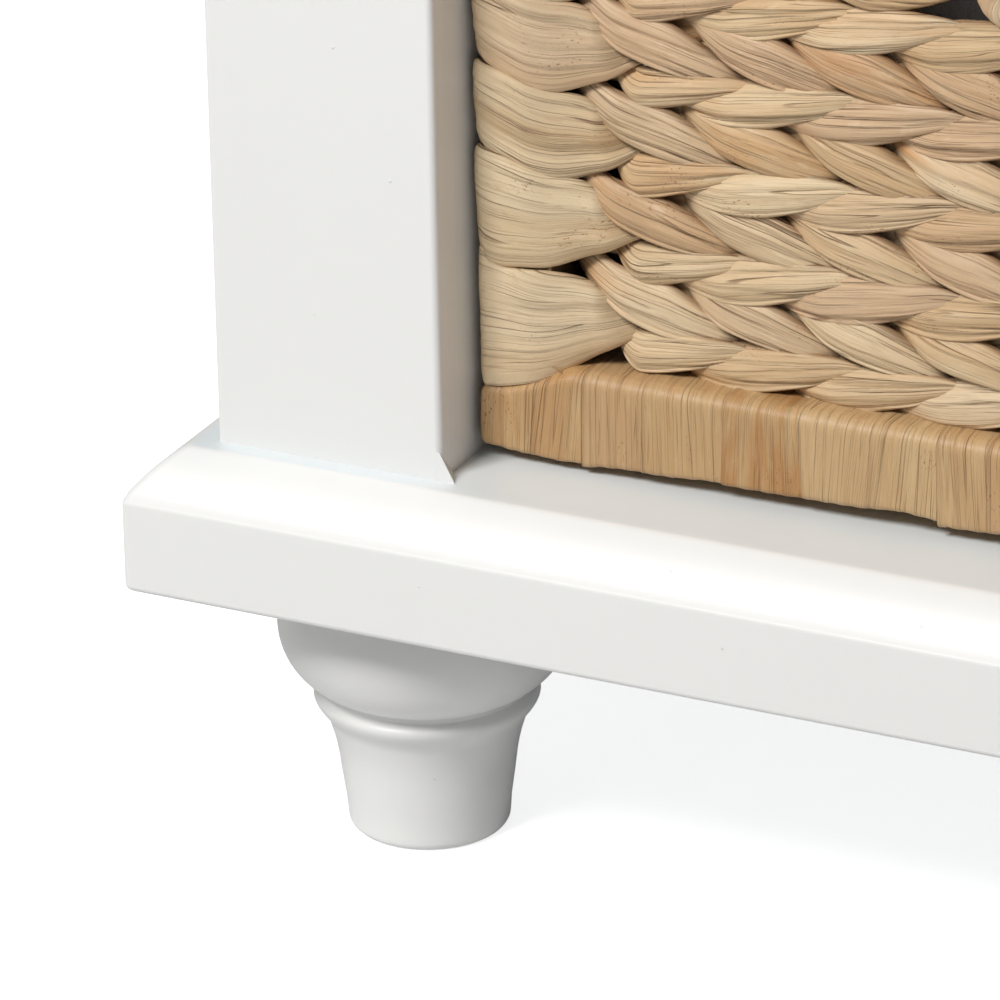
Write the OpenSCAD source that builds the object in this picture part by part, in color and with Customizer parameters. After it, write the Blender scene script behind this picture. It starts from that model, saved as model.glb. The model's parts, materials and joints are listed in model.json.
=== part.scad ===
// Entryway bench: painted wooden case on four turned feet, with three
// cubbies, a woven pull-out basket in each one, and a loose seat cushion.
// Millimetres, +Z up, front towards -Y. The origin is on the floor, in the
// middle of the bench's footprint.

/* [Case] */
// Width over the base moulding
overall_w = 1220; // [1160:10:1300]
// Depth from the front of the base moulding to the back
overall_d = 400; // [380:5:440]
// Height of one cubby's opening
opening_h = 226; // [216:2:240]
// Width of the corner posts seen from the front
post_w = 57; // [50:1:60]
// Depth of the corner posts seen from the side
post_d = 45; // [38:1:50]
// Width of the stiles between the cubbies
mid_stile_w = 39; // [34:1:44]
// Thickness of the front stiles and rails
rail_t = 18; // [15:1:22]
// Height of the rail over the cubbies
top_rail_h = 45; // [35:1:60]
// Thickness of the seat board
seat_t = 22; // [18:1:26]
// Thickness of the floor board
floor_t = 15; // [12:1:17]
// Radius of the eased edges on the posts and rails
ease_r = 1.6; // [1:0.2:2]

/* [Base moulding] */
// How far the moulding stands out past the posts
mould_proj = 16.8; // [14:0.2:20]
// Height from the underside of the moulding to the cubby floor
mould_h = 33.9; // [32:0.1:40]
// Height of the moulding's upright front face
mould_face_h = 22.9; // [20:0.1:24]
// Width of the flat ledge before the slope starts
mould_ledge = 5.3; // [4:0.1:7]

/* [Feet] */
// Height of a turned foot
foot_h = 70.4; // [68:0.2:80]
// Distance of a foot's axis from the two outer faces of the case
foot_inset = 34.6; // [34:0.2:38]
// Diameter of the hanger bolt in each foot
foot_bolt_d = 8; // [6:1:8]

/* [Baskets] */
// Side clearance between a basket and its cubby
basket_gap = 2; // [1.5:0.25:4]
// Height of a basket
basket_h = 210; // [204:1:212]
// Depth of a basket, front to back
basket_d = 338; // [310:1:340]
// How far a basket's front sits behind the posts' front
basket_set_back = 16; // [10:1:16]
// Width of the wrapped frame seen from above
band_w = 20; // [18:1:22]
// Height of the wrapped bottom band
band_h = 20; // [18:0.2:22]
// How far the woven walls sit behind the wrapped frame
weave_recess = 6; // [4:0.5:7]
// Thickness of the woven walls
weave_t = 10; // [8:0.5:11]
// Number of wire stakes in each wall
stake_n = 11; // [9:1:12]
// Distance of the outermost stakes from the basket's corners
stake_inset = 37.7; // [34:0.1:42]
// Width of the hand hole
hand_w = 78; // [70:1:86]
// Height of the hand hole
hand_h = 28; // [26:1:32]
// Height of the hand hole's lower edge over the cubby floor
hand_z = 125.5; // [120:0.5:128]

/* [Cushion] */
// Thickness of the seat cushion
cushion_t = 55; // [45:1:70]
// Distance from the seat board's edge to the cushion's edge
cushion_inset = 10; // [8:1:20]
// Radius of the cushion's corners seen from above
cushion_r = 22; // [15:1:30]

/* [Hidden] */
$fn = 64;

case_w = overall_w - 2*mould_proj;
case_d = overall_d - mould_proj;
// Case coordinates: x = 0 at the left outer face, y = 0 at the posts' front,
// z = 0 on the room's floor.
ox = -case_w/2;
oy = -(case_d - mould_proj)/2;
z_floor = foot_h + mould_h;
z_open = z_floor + opening_h;
z_seat = z_open + top_rail_h;
z_top = z_seat + seat_t;
open_w = (case_w - 2*post_w - 2*mid_stile_w)/3;
y_back = case_d - rail_t - 6;
panel_t = 12;
block_h = mould_h - floor_t;
block_s = 69.2;
basket_w = open_w - 2*basket_gap;
white = [0.93, 0.93, 0.915];
wood = [0.80, 0.68, 0.50];
straw = [0.80, 0.67, 0.49];
straw_dark = [0.74, 0.58, 0.40];
steel = [0.72, 0.73, 0.74];
linen = [0.82, 0.78, 0.70];
cloth = [0.86, 0.87, 0.88];

function arc(cx, cy, r, a0, a1, n = 8) =
  [for (i = [0:n]) [cx + r*cos(a0 + (a1 - a0)*i/n), cy + r*sin(a0 + (a1 - a0)*i/n)]];
function rrect(w, d, r, n = 5) = concat(
  arc(w - r, d - r, r, 0, 90, n), arc(r, d - r, r, 90, 180, n),
  arc(r, r, r, 180, 270, n), arc(w - r, r, r, 270, 360, n));

module at_case() translate([ox, oy, 0]) children();

// An upright board with eased edges
module upright(x, y, z, w, d, h, r = ease_r)
  translate([x, y, z]) linear_extrude(h) polygon(rrect(w, d, r));

// A board that lies along X, its long edges eased
module along_x(x, y, z, w, d, h, r = ease_r)
  translate([x, y, z]) rotate([90, 0, 90]) linear_extrude(w) polygon(rrect(d, h, r));

// A board that lies along Y, its long edges eased
module along_y(x, y, z, w, d, h, r = ease_r)
  translate([x, y + d, z]) rotate([90, 0, 0]) linear_extrude(d) polygon(rrect(w, h, r));

// ---- Base ----

// Section of the base moulding: out from the case face, up from its underside
function mould_section() = concat(
  [[0, 0]], arc(mould_proj - 1.6, 1.6, 1.6, -90, 0, 4),
  [[mould_proj, mould_face_h - 0.8], [mould_proj - 0.3, mould_face_h - 0.1]],
  [for (i = [1:7]) let (t = i/8, px = mould_proj - (mould_proj - mould_ledge)*t,
     pz = mould_face_h + (mould_h - mould_face_h)*(t + 0.1*sin(180*t))) [px, pz]],
  [[mould_ledge, mould_h], [0, mould_h]]);

// Straight strips of a section along the front and along the left side,
// cut to a mitre where they meet
module strip_front(proj) intersection() {
  translate([-proj, 0, 0]) rotate([90, 0, 90]) linear_extrude(case_w + 2*proj) mirror([1, 0]) children();
  translate([0, 0, -60]) linear_extrude(120) polygon([[-proj, -proj], [case_w + proj, -proj], [case_w, 0], [0, 0]]);
}
module strip_side(proj) intersection() {
  translate([0, case_d, 0]) rotate([0, 0, -90]) rotate([90, 0, 90]) linear_extrude(case_d + proj) mirror([1, 0]) children();
  translate([0, 0, -60]) linear_extrude(120) polygon([[-proj, -proj], [0, 0], [0, case_d], [-proj, case_d]]);
}

module base_moulding_front() color(white) at_case() translate([0, 0, foot_h])
  strip_front(mould_proj) polygon(mould_section());
module base_moulding_left() color(white) at_case() translate([0, 0, foot_h])
  strip_side(mould_proj) polygon(mould_section());
module base_moulding_right() color(white) mirror([1, 0, 0]) at_case() translate([0, 0, foot_h])
  strip_side(mould_proj) polygon(mould_section());

module base_rails() color(white) at_case() for (y = [0, case_d - rail_t])
  along_x(block_s, y, foot_h, case_w - 2*block_s, rail_t, block_h, 1);
module base_cross_rails() color(white) at_case() for (x = [0, case_w/3 - 15, 2*case_w/3 - 15, case_w - rail_t]) {
  end = x == 0 || x == case_w - rail_t;
  y0 = end ? block_s : rail_t;
  along_y(x, y0, foot_h, end ? rail_t : 30, case_d - 2*y0, block_h, 1);
}

module foot_places() for (x = [foot_inset, case_w - foot_inset], y = [foot_inset, case_d - foot_inset])
  translate([x, y, 0]) children();

module corner_blocks() color(wood) at_case() difference() {
  for (x = [0, case_w - block_s], y = [0, case_d - block_s])
    translate([x, y, foot_h]) cube([block_s, block_s, block_h]);
  foot_places() translate([0, 0, foot_h - 1]) cylinder(d = foot_bolt_d + 3, h = block_h + 2);
}

// ---- Turned feet ----

// Half section of a foot: radius, height over the floor
function foot_section() = let (k = foot_h/70.4, bz = 52.4) [for (p = concat(
  [[0, 0]], arc(16.6, 2.5, 2.5, -90, -8, 5),
  [[19.35, 6], [20.0, 10.5], [20.55, 14.5], [21.0, 18.2], [21.35, 20.4], [21.75, 22.4], [22.3, 24.6], [22.9, 26.5], [23.25, 27.7], [23.1, 28.3], [23.3, 28.9]],
  [for (i = [1:7]) [23.3 + 3.4*sin(90*i/8), 28.9 + 4.6*(1 - cos(90*i/8))]],
  [[26.7, 33.7], [26.55, 34.5], [26.1, 35.0], [25.2, 35.4], [24.6, 35.9]],
  arc(18, bz, 16.6, -66, 62, 20),
  [[25.2, 67.9], [26.6, 68.4], [27.6, 69.2], [28, 70.4], [0, 70.4]])) [p[0], p[1]*k]];

module foot_turned() difference() {
  rotate_extrude($fn = 96) polygon(foot_section());
  translate([0, 0, foot_h - 34]) cylinder(d = foot_bolt_d + 0.1, h = 40);
}

module foot_at(x, y) color(white) at_case() translate([x, y, 0]) foot_turned();
module foot_front_left() foot_at(foot_inset, foot_inset);
module foot_front_right() foot_at(case_w - foot_inset, foot_inset);
module foot_back_left() foot_at(foot_inset, case_d - foot_inset);
module foot_back_right() foot_at(case_w - foot_inset, case_d - foot_inset);

module foot_hanger_bolts() color(steel) at_case() foot_places()
  translate([0, 0, foot_h - 32]) cylinder(d = foot_bolt_d, h = 32 + block_h - 1);

module foot_tee_nuts() color(steel) at_case() foot_places() translate([0, 0, foot_h]) difference() {
  translate([0, 0, 1]) cylinder(d = foot_bolt_d + 2.9, h = block_h - 2);
  cylinder(d = foot_bolt_d + 0.1, h = block_h);
}

// ---- Floor, posts and sides ----

post_spots = [for (x = [0, case_w - post_w], y = [0, case_d - post_d]) [x, y]];
module dowel_pair(x, y, dx, z, d, h) for (s = [-1, 1]) translate([x + s*dx, y, z]) cylinder(d = d, h = h, $fn = 32);

module post_dowel_set(d, h) for (p = post_spots) {
  dowel_pair(p[0] + post_w/2, p[1] + post_d/2, 13, z_floor - h*0.3, d, h);
}
module divider_dowel_set(d, h) for (i = [1, 2], y = [90, case_d - 90])
  translate([divider_x(i) + 9, y, z_floor - h*0.3]) cylinder(d = d, h = h, $fn = 32);

module floor_board() color(white) at_case() difference() {
  translate([0, 0, z_floor - floor_t]) cube([case_w, case_d, floor_t]);
  post_dowel_set(8.1, 30);
  divider_dowel_set(8.1, 30);
}
module dowels() color(wood) at_case() {
  post_dowel_set(8, 29.6);
  divider_dowel_set(8, 29.6);
}

module post_at(x, y) color(white) at_case() difference() {
  upright(x, y, z_floor, post_w, post_d, z_seat - z_floor);
  dowel_pair(x + post_w/2, y + post_d/2, 13, z_floor - 1, 8.1, 22);
}
module post_front_left() post_at(0, 0);
module post_front_right() post_at(case_w - post_w, 0);
module post_back_left() post_at(0, case_d - post_d);
module post_back_right() post_at(case_w - post_w, case_d - post_d);

side_rail_t = 30;
module side_rails_bottom() color(white) at_case() for (x = [3, case_w - 3 - side_rail_t])
  along_y(x, post_d, z_floor, side_rail_t, case_d - 2*post_d, 42);
module side_rails_top() color(white) at_case() for (x = [3, case_w - 3 - side_rail_t])
  along_y(x, post_d, z_seat - top_rail_h, side_rail_t, case_d - 2*post_d, top_rail_h);
module side_panel_at(x) color(white) at_case()
  translate([x, post_d, z_floor + 42]) cube([10, case_d - 2*post_d, z_seat - top_rail_h - z_floor - 42]);
module side_panel_left() side_panel_at(12);
module side_panel_right() side_panel_at(case_w - 22);
module inner_wall_at(x) color(white) at_case()
  translate([x, post_d, z_floor]) cube([panel_t, case_d - 2*post_d, z_seat - z_floor]);
module inner_wall_left() inner_wall_at(post_w - panel_t);
module inner_wall_right() inner_wall_at(case_w - post_w);

// ---- Dividers, back and top ----

function stile_x(i) = post_w + i*open_w + (i - 1)*mid_stile_w;
function divider_x(i) = stile_x(i) + mid_stile_w/2 - 9;

module stile_left() color(white) at_case() upright(stile_x(1), 0, z_floor, mid_stile_w, rail_t, opening_h);
module stile_right() color(white) at_case() upright(stile_x(2), 0, z_floor, mid_stile_w, rail_t, opening_h);
module divider_at(i) color(white) at_case() difference() {
  translate([divider_x(i), rail_t, z_floor]) cube([18, y_back - rail_t, z_seat - z_floor]);
  divider_dowel_set(8.1, 30);
}
module divider_left() divider_at(1);
module divider_right() divider_at(2);

module back_panel() color(white) at_case()
  translate([post_w, y_back, z_floor]) cube([case_w - 2*post_w, 6, z_seat - z_floor]);
module back_rails() color(white) at_case() {
  along_x(post_w, case_d - rail_t, z_floor, case_w - 2*post_w, rail_t, 42);
  along_x(post_w, case_d - rail_t, z_open, case_w - 2*post_w, rail_t, top_rail_h);
}
module top_rail_front() color(white) at_case()
  along_x(post_w, 0, z_open, case_w - 2*post_w, rail_t, top_rail_h);

block_x = [for (i = [0:2], s = [0.25, 0.75]) post_w + i*(open_w + mid_stile_w) + s*open_w];
module seat_screw_set(d_head, d, z0) for (x = block_x, y = [rail_t + 12, y_back - 12]) translate([x, y, 0]) {
  translate([0, 0, z_seat - 26 + z0]) cylinder(d = d_head, h = 3.2, $fn = 32);
  translate([0, 0, z_seat - 26 + z0]) cylinder(d = d, h = 38, $fn = 32);
}
module seat_blocks() color(wood) at_case() difference() {
  for (x = block_x, y = [rail_t, y_back - 24]) translate([x - 25, y, z_seat - 24]) cube([50, 24, 24]);
  for (x = block_x, y = [rail_t + 12, y_back - 12]) translate([x, y, z_seat - 25]) cylinder(d = 4.3, h = 30, $fn = 32);
}
module seat_screws() color(steel) at_case() seat_screw_set(8.5, 4.2, -1.2);

// Half round of the seat board's edge: a large round over, a small one under
module seat_slab(w0, w1, full) polygon(concat(
  arc(w0 + 9, seat_t - 9, 9, 90, 180, 8), arc(w0 + 5, 5, 5, 180, 270, 5),
  full ? concat(arc(w1 - 5, 5, 5, 270, 360, 5), arc(w1 - 9, seat_t - 9, 9, 0, 90, 8))
       : [[w1, 0], [w1, seat_t]]));
module seat_board() color(white) at_case() translate([0, 0, z_seat]) difference() {
  intersection() {
    translate([-mould_proj, 0, 0]) rotate([90, 0, 90]) linear_extrude(overall_w) seat_slab(-mould_proj, case_d, false);
    translate([0, case_d, 0]) rotate([90, 0, 0]) linear_extrude(case_d + mould_proj)
      seat_slab(-mould_proj, case_w + mould_proj, true);
  }
  translate([0, 0, -z_seat]) seat_holes();
}
// Cove under the seat board's overhang
cove = 12;
function cove_section() = concat([[0, 0], [0, -cove], [1.2, -cove]],
  arc(cove - 0.6, -cove + 0.6, cove - 1.8, 180, 90, 8), [[cove, -1.2], [cove, 0]]);
module seat_mouldings() color(white) {
  at_case() translate([0, 0, z_seat]) strip_front(cove) polygon(cove_section());
  at_case() translate([0, 0, z_seat]) strip_side(cove) polygon(cove_section());
  mirror([1, 0, 0]) at_case() translate([0, 0, z_seat]) strip_side(cove) polygon(cove_section());
}
module seat_holes() for (x = block_x, y = [rail_t + 12, y_back - 12])
  translate([x, y, z_seat - 1]) cylinder(d = 4.3, h = 12.5, $fn = 32);

// ---- Cushion ----

cush_w = overall_w - 2*cushion_inset;
cush_d = overall_d - 2*cushion_inset;
cush_z = z_top + 0.4;
module cushion_slab(w, d, h, r) translate([-w/2, -d/2, 0]) linear_extrude(h) polygon(rrect(w, d, r, 8));
module cushion_cover() color(linen) translate([0, 0, cush_z]) difference() {
  cushion_slab(cush_w, cush_d, cushion_t, cushion_r);
  translate([0, 0, 1.5]) cushion_slab(cush_w - 3, cush_d - 3, cushion_t - 3, cushion_r - 1.5);
  translate([-350, cush_d/2 - 1.6, cushion_t/2 - 5]) cube([700, 5, 10]);
}
module cushion_foam() color([0.95, 0.92, 0.80]) translate([0, 0, cush_z + 1.6])
  cushion_slab(cush_w - 3.4, cush_d - 3.4, cushion_t - 3.2, cushion_r - 1.7);
module cushion_zip() color(linen) translate([-349.8, cush_d/2 - 1.4, cush_z + cushion_t/2 - 4.8]) cube([699.6, 1.4, 9.6]);

// ---- Baskets ----
// Drawn with x = 0 at a basket's left side, y = 0 at its front and z = 0 on
// the cubby floor.

lift = 0.4;
band_z = 4.4;
rim_h = 18;
rim_z = basket_h - rim_h;
wrap_t = 3;

module ring(w, d, t, h, r = 3) difference() {
  linear_extrude(h) polygon(rrect(w, d, r));
  translate([t, t, -1]) cube([w - 2*t, d - 2*t, h + 2]);
}
// Square bars of the inner frame, with room to fit them in the wraps
module frame_bars(g) {
  for (z = [band_z + wrap_t, rim_z + wrap_t]) {
    h = z < 100 ? band_h - 2*wrap_t : rim_h - 2*wrap_t;
    translate([wrap_t - g, wrap_t - g, z - g]) difference() {
      cube([basket_w - 2*wrap_t + 2*g, basket_d - 2*wrap_t + 2*g, h + 2*g]);
      translate([band_w - 2*wrap_t + 2*g, band_w - 2*wrap_t + 2*g, -1])
        cube([basket_w - 2*band_w + 2*wrap_t - 2*g, basket_d - 2*band_w + 2*wrap_t - 2*g, h + 3]);
    }
  }
}
module corner_bars(g, e) for (x = [wrap_t, basket_w - band_w + wrap_t], y = [wrap_t, basket_d - band_w + wrap_t])
  translate([x - g, y - g, band_z + band_h - wrap_t - e])
    cube([band_w - 2*wrap_t + 2*g, band_w - 2*wrap_t + 2*g, rim_z - band_z - band_h + 2*wrap_t + 2*e]);

module bk_band() difference() {
  translate([0, 0, band_z]) ring(basket_w, basket_d, band_w, band_h, 4);
  frame_bars(0.1);
  corner_bars(0.1, 0);
}
module bk_rim() difference() {
  translate([0, 0, rim_z]) ring(basket_w, basket_d, band_w, rim_h, 4);
  frame_bars(0.1);
  corner_bars(0.1, 0);
}
module bk_frame() union() {
  frame_bars(0);
  corner_bars(0, 0.5);
}
module bk_floor() translate([band_w + 0.1, band_w + 0.1, lift])
  linear_extrude(10) polygon(rrect(basket_w - 2*band_w - 0.2, basket_d - 2*band_w - 0.2, 4));
module hand_hole(g, z0, z1) translate([basket_w/2, z1, hand_z + hand_h/2]) rotate([90, 0, 0]) linear_extrude(z1 - z0)
  translate([-hand_w/2 - g, -hand_h/2 - g]) polygon(rrect(hand_w + 2*g, hand_h + 2*g, 4 + g, 8));
module bk_weave() difference() {
  union() {
    for (s = [0, 1]) {
      translate([band_w, s*(basket_d - weave_t - 2*weave_recess) + weave_recess, band_z + band_h])
        cube([basket_w - 2*band_w, weave_t, rim_z - band_z - band_h]);
      translate([s*(basket_w - weave_t - 2*weave_recess) + weave_recess, band_w, band_z + band_h])
        cube([weave_t, basket_d - 2*band_w, rim_z - band_z - band_h]);
    }
    for (x = [0, basket_w - band_w], y = [0, basket_d - band_w]) translate([x, y, band_z + band_h])
      linear_extrude(rim_z - band_z - band_h) polygon(rrect(band_w, band_w, 3));
  }
  corner_bars(0.1, 1);
  hand_hole(0, -5, band_w + 5);
}
function spread(w, i) = stake_inset + (w - 2*stake_inset)*i/(stake_n - 1);
module stake(x, y, z0, z1) translate([x, y, z0]) cylinder(d = 2.6, h = z1 - z0, $fn = 24);
module bk_stakes() {
  y_w = weave_recess + weave_t/2;
  z0 = band_z + band_h - wrap_t - 0.5;
  z1 = rim_z + wrap_t + 0.5;
  for (i = [0:stake_n - 1]) {
    x = spread(basket_w, i);
    cut = abs(x - basket_w/2) < hand_w/2 + 3;
    stake(x, y_w, z0, cut ? hand_z - 3 : z1);
    if (cut) stake(x, y_w, hand_z + hand_h + 3, z1);
    stake(x, basket_d - y_w, z0, z1);
    for (sx = [y_w, basket_w - y_w]) stake(sx, spread(basket_d, i), z0, z1);
  }
}
// Flat wire loop that bounds the hand hole
module bk_hand_loop() translate([0, weave_recess + weave_t/2 - 1.3, 0]) difference() {
  hand_hole(5, 0, 2.6);
  hand_hole(2.4, -1, 4);
}
liner_t = 1.2;
module bk_liner() translate([band_w + 0.3, band_w + 0.3, lift + 10.2]) difference() {
  linear_extrude(basket_h - lift - 10.2 - 4) polygon(rrect(basket_w - 2*band_w - 0.6, basket_d - 2*band_w - 0.6, 5));
  translate([liner_t, liner_t, liner_t]) linear_extrude(basket_h)
    polygon(rrect(basket_w - 2*band_w - 0.6 - 2*liner_t, basket_d - 2*band_w - 0.6 - 2*liner_t, 5 - liner_t));
}

module place(i) at_case() translate([post_w + basket_gap + i*(open_w + mid_stile_w), basket_set_back, z_floor]) children();

module basket_left_weave() color(straw) place(0) bk_weave();
module basket_left_floor() color(straw) place(0) bk_floor();
module basket_left_band() color(straw_dark) place(0) bk_band();
module basket_left_rim() color(straw_dark) place(0) bk_rim();
module basket_left_frame() color(wood) place(0) bk_frame();
module basket_left_stakes() color(steel) place(0) {
  bk_stakes();
  bk_hand_loop();
}
module basket_left_liner() color(cloth) place(0) bk_liner();
module basket_mid_weave() color(straw) place(1) bk_weave();
module basket_mid_floor() color(straw) place(1) bk_floor();
module basket_mid_band() color(straw_dark) place(1) bk_band();
module basket_mid_rim() color(straw_dark) place(1) bk_rim();
module basket_mid_frame() color(wood) place(1) bk_frame();
module basket_mid_stakes() color(steel) place(1) {
  bk_stakes();
  bk_hand_loop();
}
module basket_mid_liner() color(cloth) place(1) bk_liner();
module basket_right_weave() color(straw) place(2) bk_weave();
module basket_right_floor() color(straw) place(2) bk_floor();
module basket_right_band() color(straw_dark) place(2) bk_band();
module basket_right_rim() color(straw_dark) place(2) bk_rim();
module basket_right_frame() color(wood) place(2) bk_frame();
module basket_right_stakes() color(steel) place(2) {
  bk_stakes();
  bk_hand_loop();
}
module basket_right_liner() color(cloth) place(2) bk_liner();

base_moulding_front();
base_moulding_left();
base_moulding_right();
base_rails();
base_cross_rails();
corner_blocks();
foot_front_left();
foot_front_right();
foot_back_left();
foot_back_right();
foot_hanger_bolts();
foot_tee_nuts();
floor_board();
post_front_left();
post_front_right();
post_back_left();
post_back_right();
dowels();
side_rails_bottom();
side_rails_top();
side_panel_left();
side_panel_right();
inner_wall_left();
inner_wall_right();
stile_left();
stile_right();
divider_left();
divider_right();
back_panel();
back_rails();
top_rail_front();
seat_blocks();
seat_screws();
seat_board();
seat_mouldings();
cushion_cover();
cushion_foam();
cushion_zip();
basket_left_weave();
basket_left_floor();
basket_left_band();
basket_left_rim();
basket_left_frame();
basket_left_stakes();
basket_left_liner();
basket_mid_weave();
basket_mid_floor();
basket_mid_band();
basket_mid_rim();
basket_mid_frame();
basket_mid_stakes();
basket_mid_liner();
basket_right_weave();
basket_right_floor();
basket_right_band();
basket_right_rim();
basket_right_frame();
basket_right_stakes();
basket_right_liner();
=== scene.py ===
"""Looks of the entryway bench: painted case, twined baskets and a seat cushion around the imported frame."""
import json
import math

import bmesh
import bpy
import numpy as np
from mathutils import Matrix, Vector

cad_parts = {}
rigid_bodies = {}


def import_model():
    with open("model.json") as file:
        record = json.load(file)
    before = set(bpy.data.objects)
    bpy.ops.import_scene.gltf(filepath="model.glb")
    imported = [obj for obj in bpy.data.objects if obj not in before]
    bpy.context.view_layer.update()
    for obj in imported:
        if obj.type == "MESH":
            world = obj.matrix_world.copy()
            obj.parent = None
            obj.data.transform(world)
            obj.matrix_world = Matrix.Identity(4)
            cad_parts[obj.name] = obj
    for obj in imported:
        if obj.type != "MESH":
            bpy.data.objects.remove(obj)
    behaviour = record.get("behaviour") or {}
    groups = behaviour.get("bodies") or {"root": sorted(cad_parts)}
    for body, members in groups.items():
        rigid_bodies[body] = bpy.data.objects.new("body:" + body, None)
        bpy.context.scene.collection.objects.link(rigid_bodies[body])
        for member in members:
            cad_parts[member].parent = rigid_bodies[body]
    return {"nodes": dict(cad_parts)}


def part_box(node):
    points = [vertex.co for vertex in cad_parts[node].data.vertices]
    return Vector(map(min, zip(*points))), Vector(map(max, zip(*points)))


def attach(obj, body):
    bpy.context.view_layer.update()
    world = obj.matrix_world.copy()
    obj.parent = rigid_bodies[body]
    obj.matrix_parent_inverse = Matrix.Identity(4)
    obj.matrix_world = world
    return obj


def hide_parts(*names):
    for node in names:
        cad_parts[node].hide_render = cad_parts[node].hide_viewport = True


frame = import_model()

MM = 0.001
scene = bpy.context.scene
for _o in list(scene.objects):
    if _o.type in ("LIGHT", "CAMERA") or (_o.type == "MESH" and _o.name == "Cube"):
        bpy.data.objects.remove(_o)
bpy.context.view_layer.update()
scene.view_settings.view_transform = "Standard"
scene.view_settings.look = "None"


def box_mm(node):
    lo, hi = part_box(node)
    return np.array(lo) / MM, np.array(hi) / MM


POST_LO, POST_HI = box_mm("post_front_left")
OX, OY, ZF = POST_LO                      # case corner: left outer face, posts' front, cubby floor
CASE_W = -2 * OX
POST_W, POST_D = POST_HI[0] - OX, POST_HI[1] - OY
BAND_LO, BAND_HI = box_mm("basket_left_band")
RIM_LO, RIM_HI = box_mm("basket_left_rim")
B_W = BAND_HI[0] - BAND_LO[0]             # a basket's width, depth and height
B_D = BAND_HI[1] - BAND_LO[1]
B_Y = BAND_LO[1]
B_H = RIM_HI[2] - ZF
BAND_Z0, BAND_Z1 = BAND_LO[2] - ZF, BAND_HI[2] - ZF
RIM_Z0 = RIM_LO[2] - ZF
BASKETS = ("left", "mid", "right")
B_X = {b: box_mm(f"basket_{b}_band")[0][0] for b in BASKETS}
FRAME_T = 20.0                            # width of the wrapped frame seen from above
WALL_IN = 11.0                            # from a basket's face to the wire stakes

# ---------------------------------------------------------------- camera
def look(az, el, roll):
    az, el, roll = (math.radians(v) for v in (az, el, roll))
    back = np.array([math.sin(az) * math.cos(el), -math.cos(az) * math.cos(el), math.sin(el)])
    right = np.cross([0, 0, 1.0], back)
    right /= np.linalg.norm(right)
    up = np.cross(back, right)
    c, s = math.cos(roll), math.sin(roll)
    return c * right + s * up, -s * right + c * up, back


_r, _u, _b = look(26.46, 23.87, -1.03)
_at = np.array([OX + 71.7, OY, ZF - 33.9 + 32.0]) + 1629.0 * _b
cam_data = bpy.data.cameras.new("camera")
cam_data.sensor_width = 36.0
cam_data.lens = 7271.0 / 1000.0 * 36.0
cam_data.clip_start, cam_data.clip_end = 0.05, 50.0
camera = bpy.data.objects.new("camera", cam_data)
scene.collection.objects.link(camera)
_m = np.eye(4)
_m[:3, 0], _m[:3, 1], _m[:3, 2], _m[:3, 3] = _r, _u, _b, _at * MM
camera.matrix_world = Matrix(_m.tolist())
scene.camera = camera

# ---------------------------------------------------------------- meshes
def mesh_obj(name, V, quads=None, tris=None, smooth=True, attrs=None, mats=(), mat_index=None):
    """V in millimetres in the row frame. attrs: name -> array of n floats, n x 3 or n x 4."""
    V = np.asarray(V, float) * MM
    q = np.zeros((0, 4), int) if quads is None else np.asarray(quads).reshape(-1, 4)
    t = np.zeros((0, 3), int) if tris is None else np.asarray(tris).reshape(-1, 3)
    me = bpy.data.meshes.new(name)
    loops = np.concatenate([q.ravel(), t.ravel()]).astype(np.int32)
    tot = np.concatenate([np.full(len(q), 4), np.full(len(t), 3)])
    start = np.concatenate([[0], np.cumsum(tot)[:-1]]).astype(np.int32)
    me.vertices.add(len(V))
    me.vertices.foreach_set("co", V.astype(np.float32).ravel())
    me.loops.add(len(loops))
    me.loops.foreach_set("vertex_index", loops)
    me.polygons.add(len(tot))
    me.polygons.foreach_set("loop_start", start)
    if mat_index is not None:
        me.polygons.foreach_set("material_index", np.asarray(mat_index, np.int32))
    me.update(calc_edges=True)
    me.polygons.foreach_set("use_smooth", np.full(len(tot), bool(smooth)))
    for key, a in (attrs or {}).items():
        a = np.asarray(a, np.float32)
        if a.ndim == 1:
            me.attributes.new(key, "FLOAT", "POINT").data.foreach_set("value", a)
        elif a.shape[1] == 3:
            me.attributes.new(key, "FLOAT_VECTOR", "POINT").data.foreach_set("vector", a.ravel())
        else:
            me.attributes.new(key, "FLOAT_COLOR", "POINT").data.foreach_set("color", a.ravel())
    for m in mats:
        me.materials.append(m)
    o = bpy.data.objects.new(name, me)
    scene.collection.objects.link(o)
    return o


def loft(P):
    """Closed tubes: P is (n, rings, points round, 3). Ends are closed with a fan. Returns V, quads and tris."""
    n, ns, nr, _ = P.shape
    idx = np.arange(n * ns * nr).reshape(n, ns, nr)
    a, c = idx[:, :-1, :], idx[:, 1:, :]
    b, d = np.roll(a, -1, 2), np.roll(c, -1, 2)
    quads = np.stack([a, b, d, c], -1).reshape(-1, 4)
    ends = np.stack([P[:, 0].mean(1), P[:, -1].mean(1)], 1).reshape(-1, 3)
    e = n * ns * nr + np.arange(2 * n).reshape(n, 2)
    r0, r1 = idx[:, 0, :], idx[:, -1, :]
    t0 = np.stack([np.broadcast_to(e[:, :1], r0.shape), np.roll(r0, -1, 1), r0], -1)
    t1 = np.stack([np.broadcast_to(e[:, 1:], r1.shape), r1, np.roll(r1, -1, 1)], -1)
    V = np.concatenate([P.reshape(-1, 3), ends])
    tris = np.concatenate([t0.reshape(-1, 3), t1.reshape(-1, 3)])
    A, B, C = V[quads[:, 0]], V[quads[:, 1]], V[quads[:, 2]]
    if np.einsum("ij,ij->", A, np.cross(B, C)) < 0 and n == 1:
        quads, tris = quads[:, ::-1], tris[:, ::-1]
    return V, quads, tris


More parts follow.
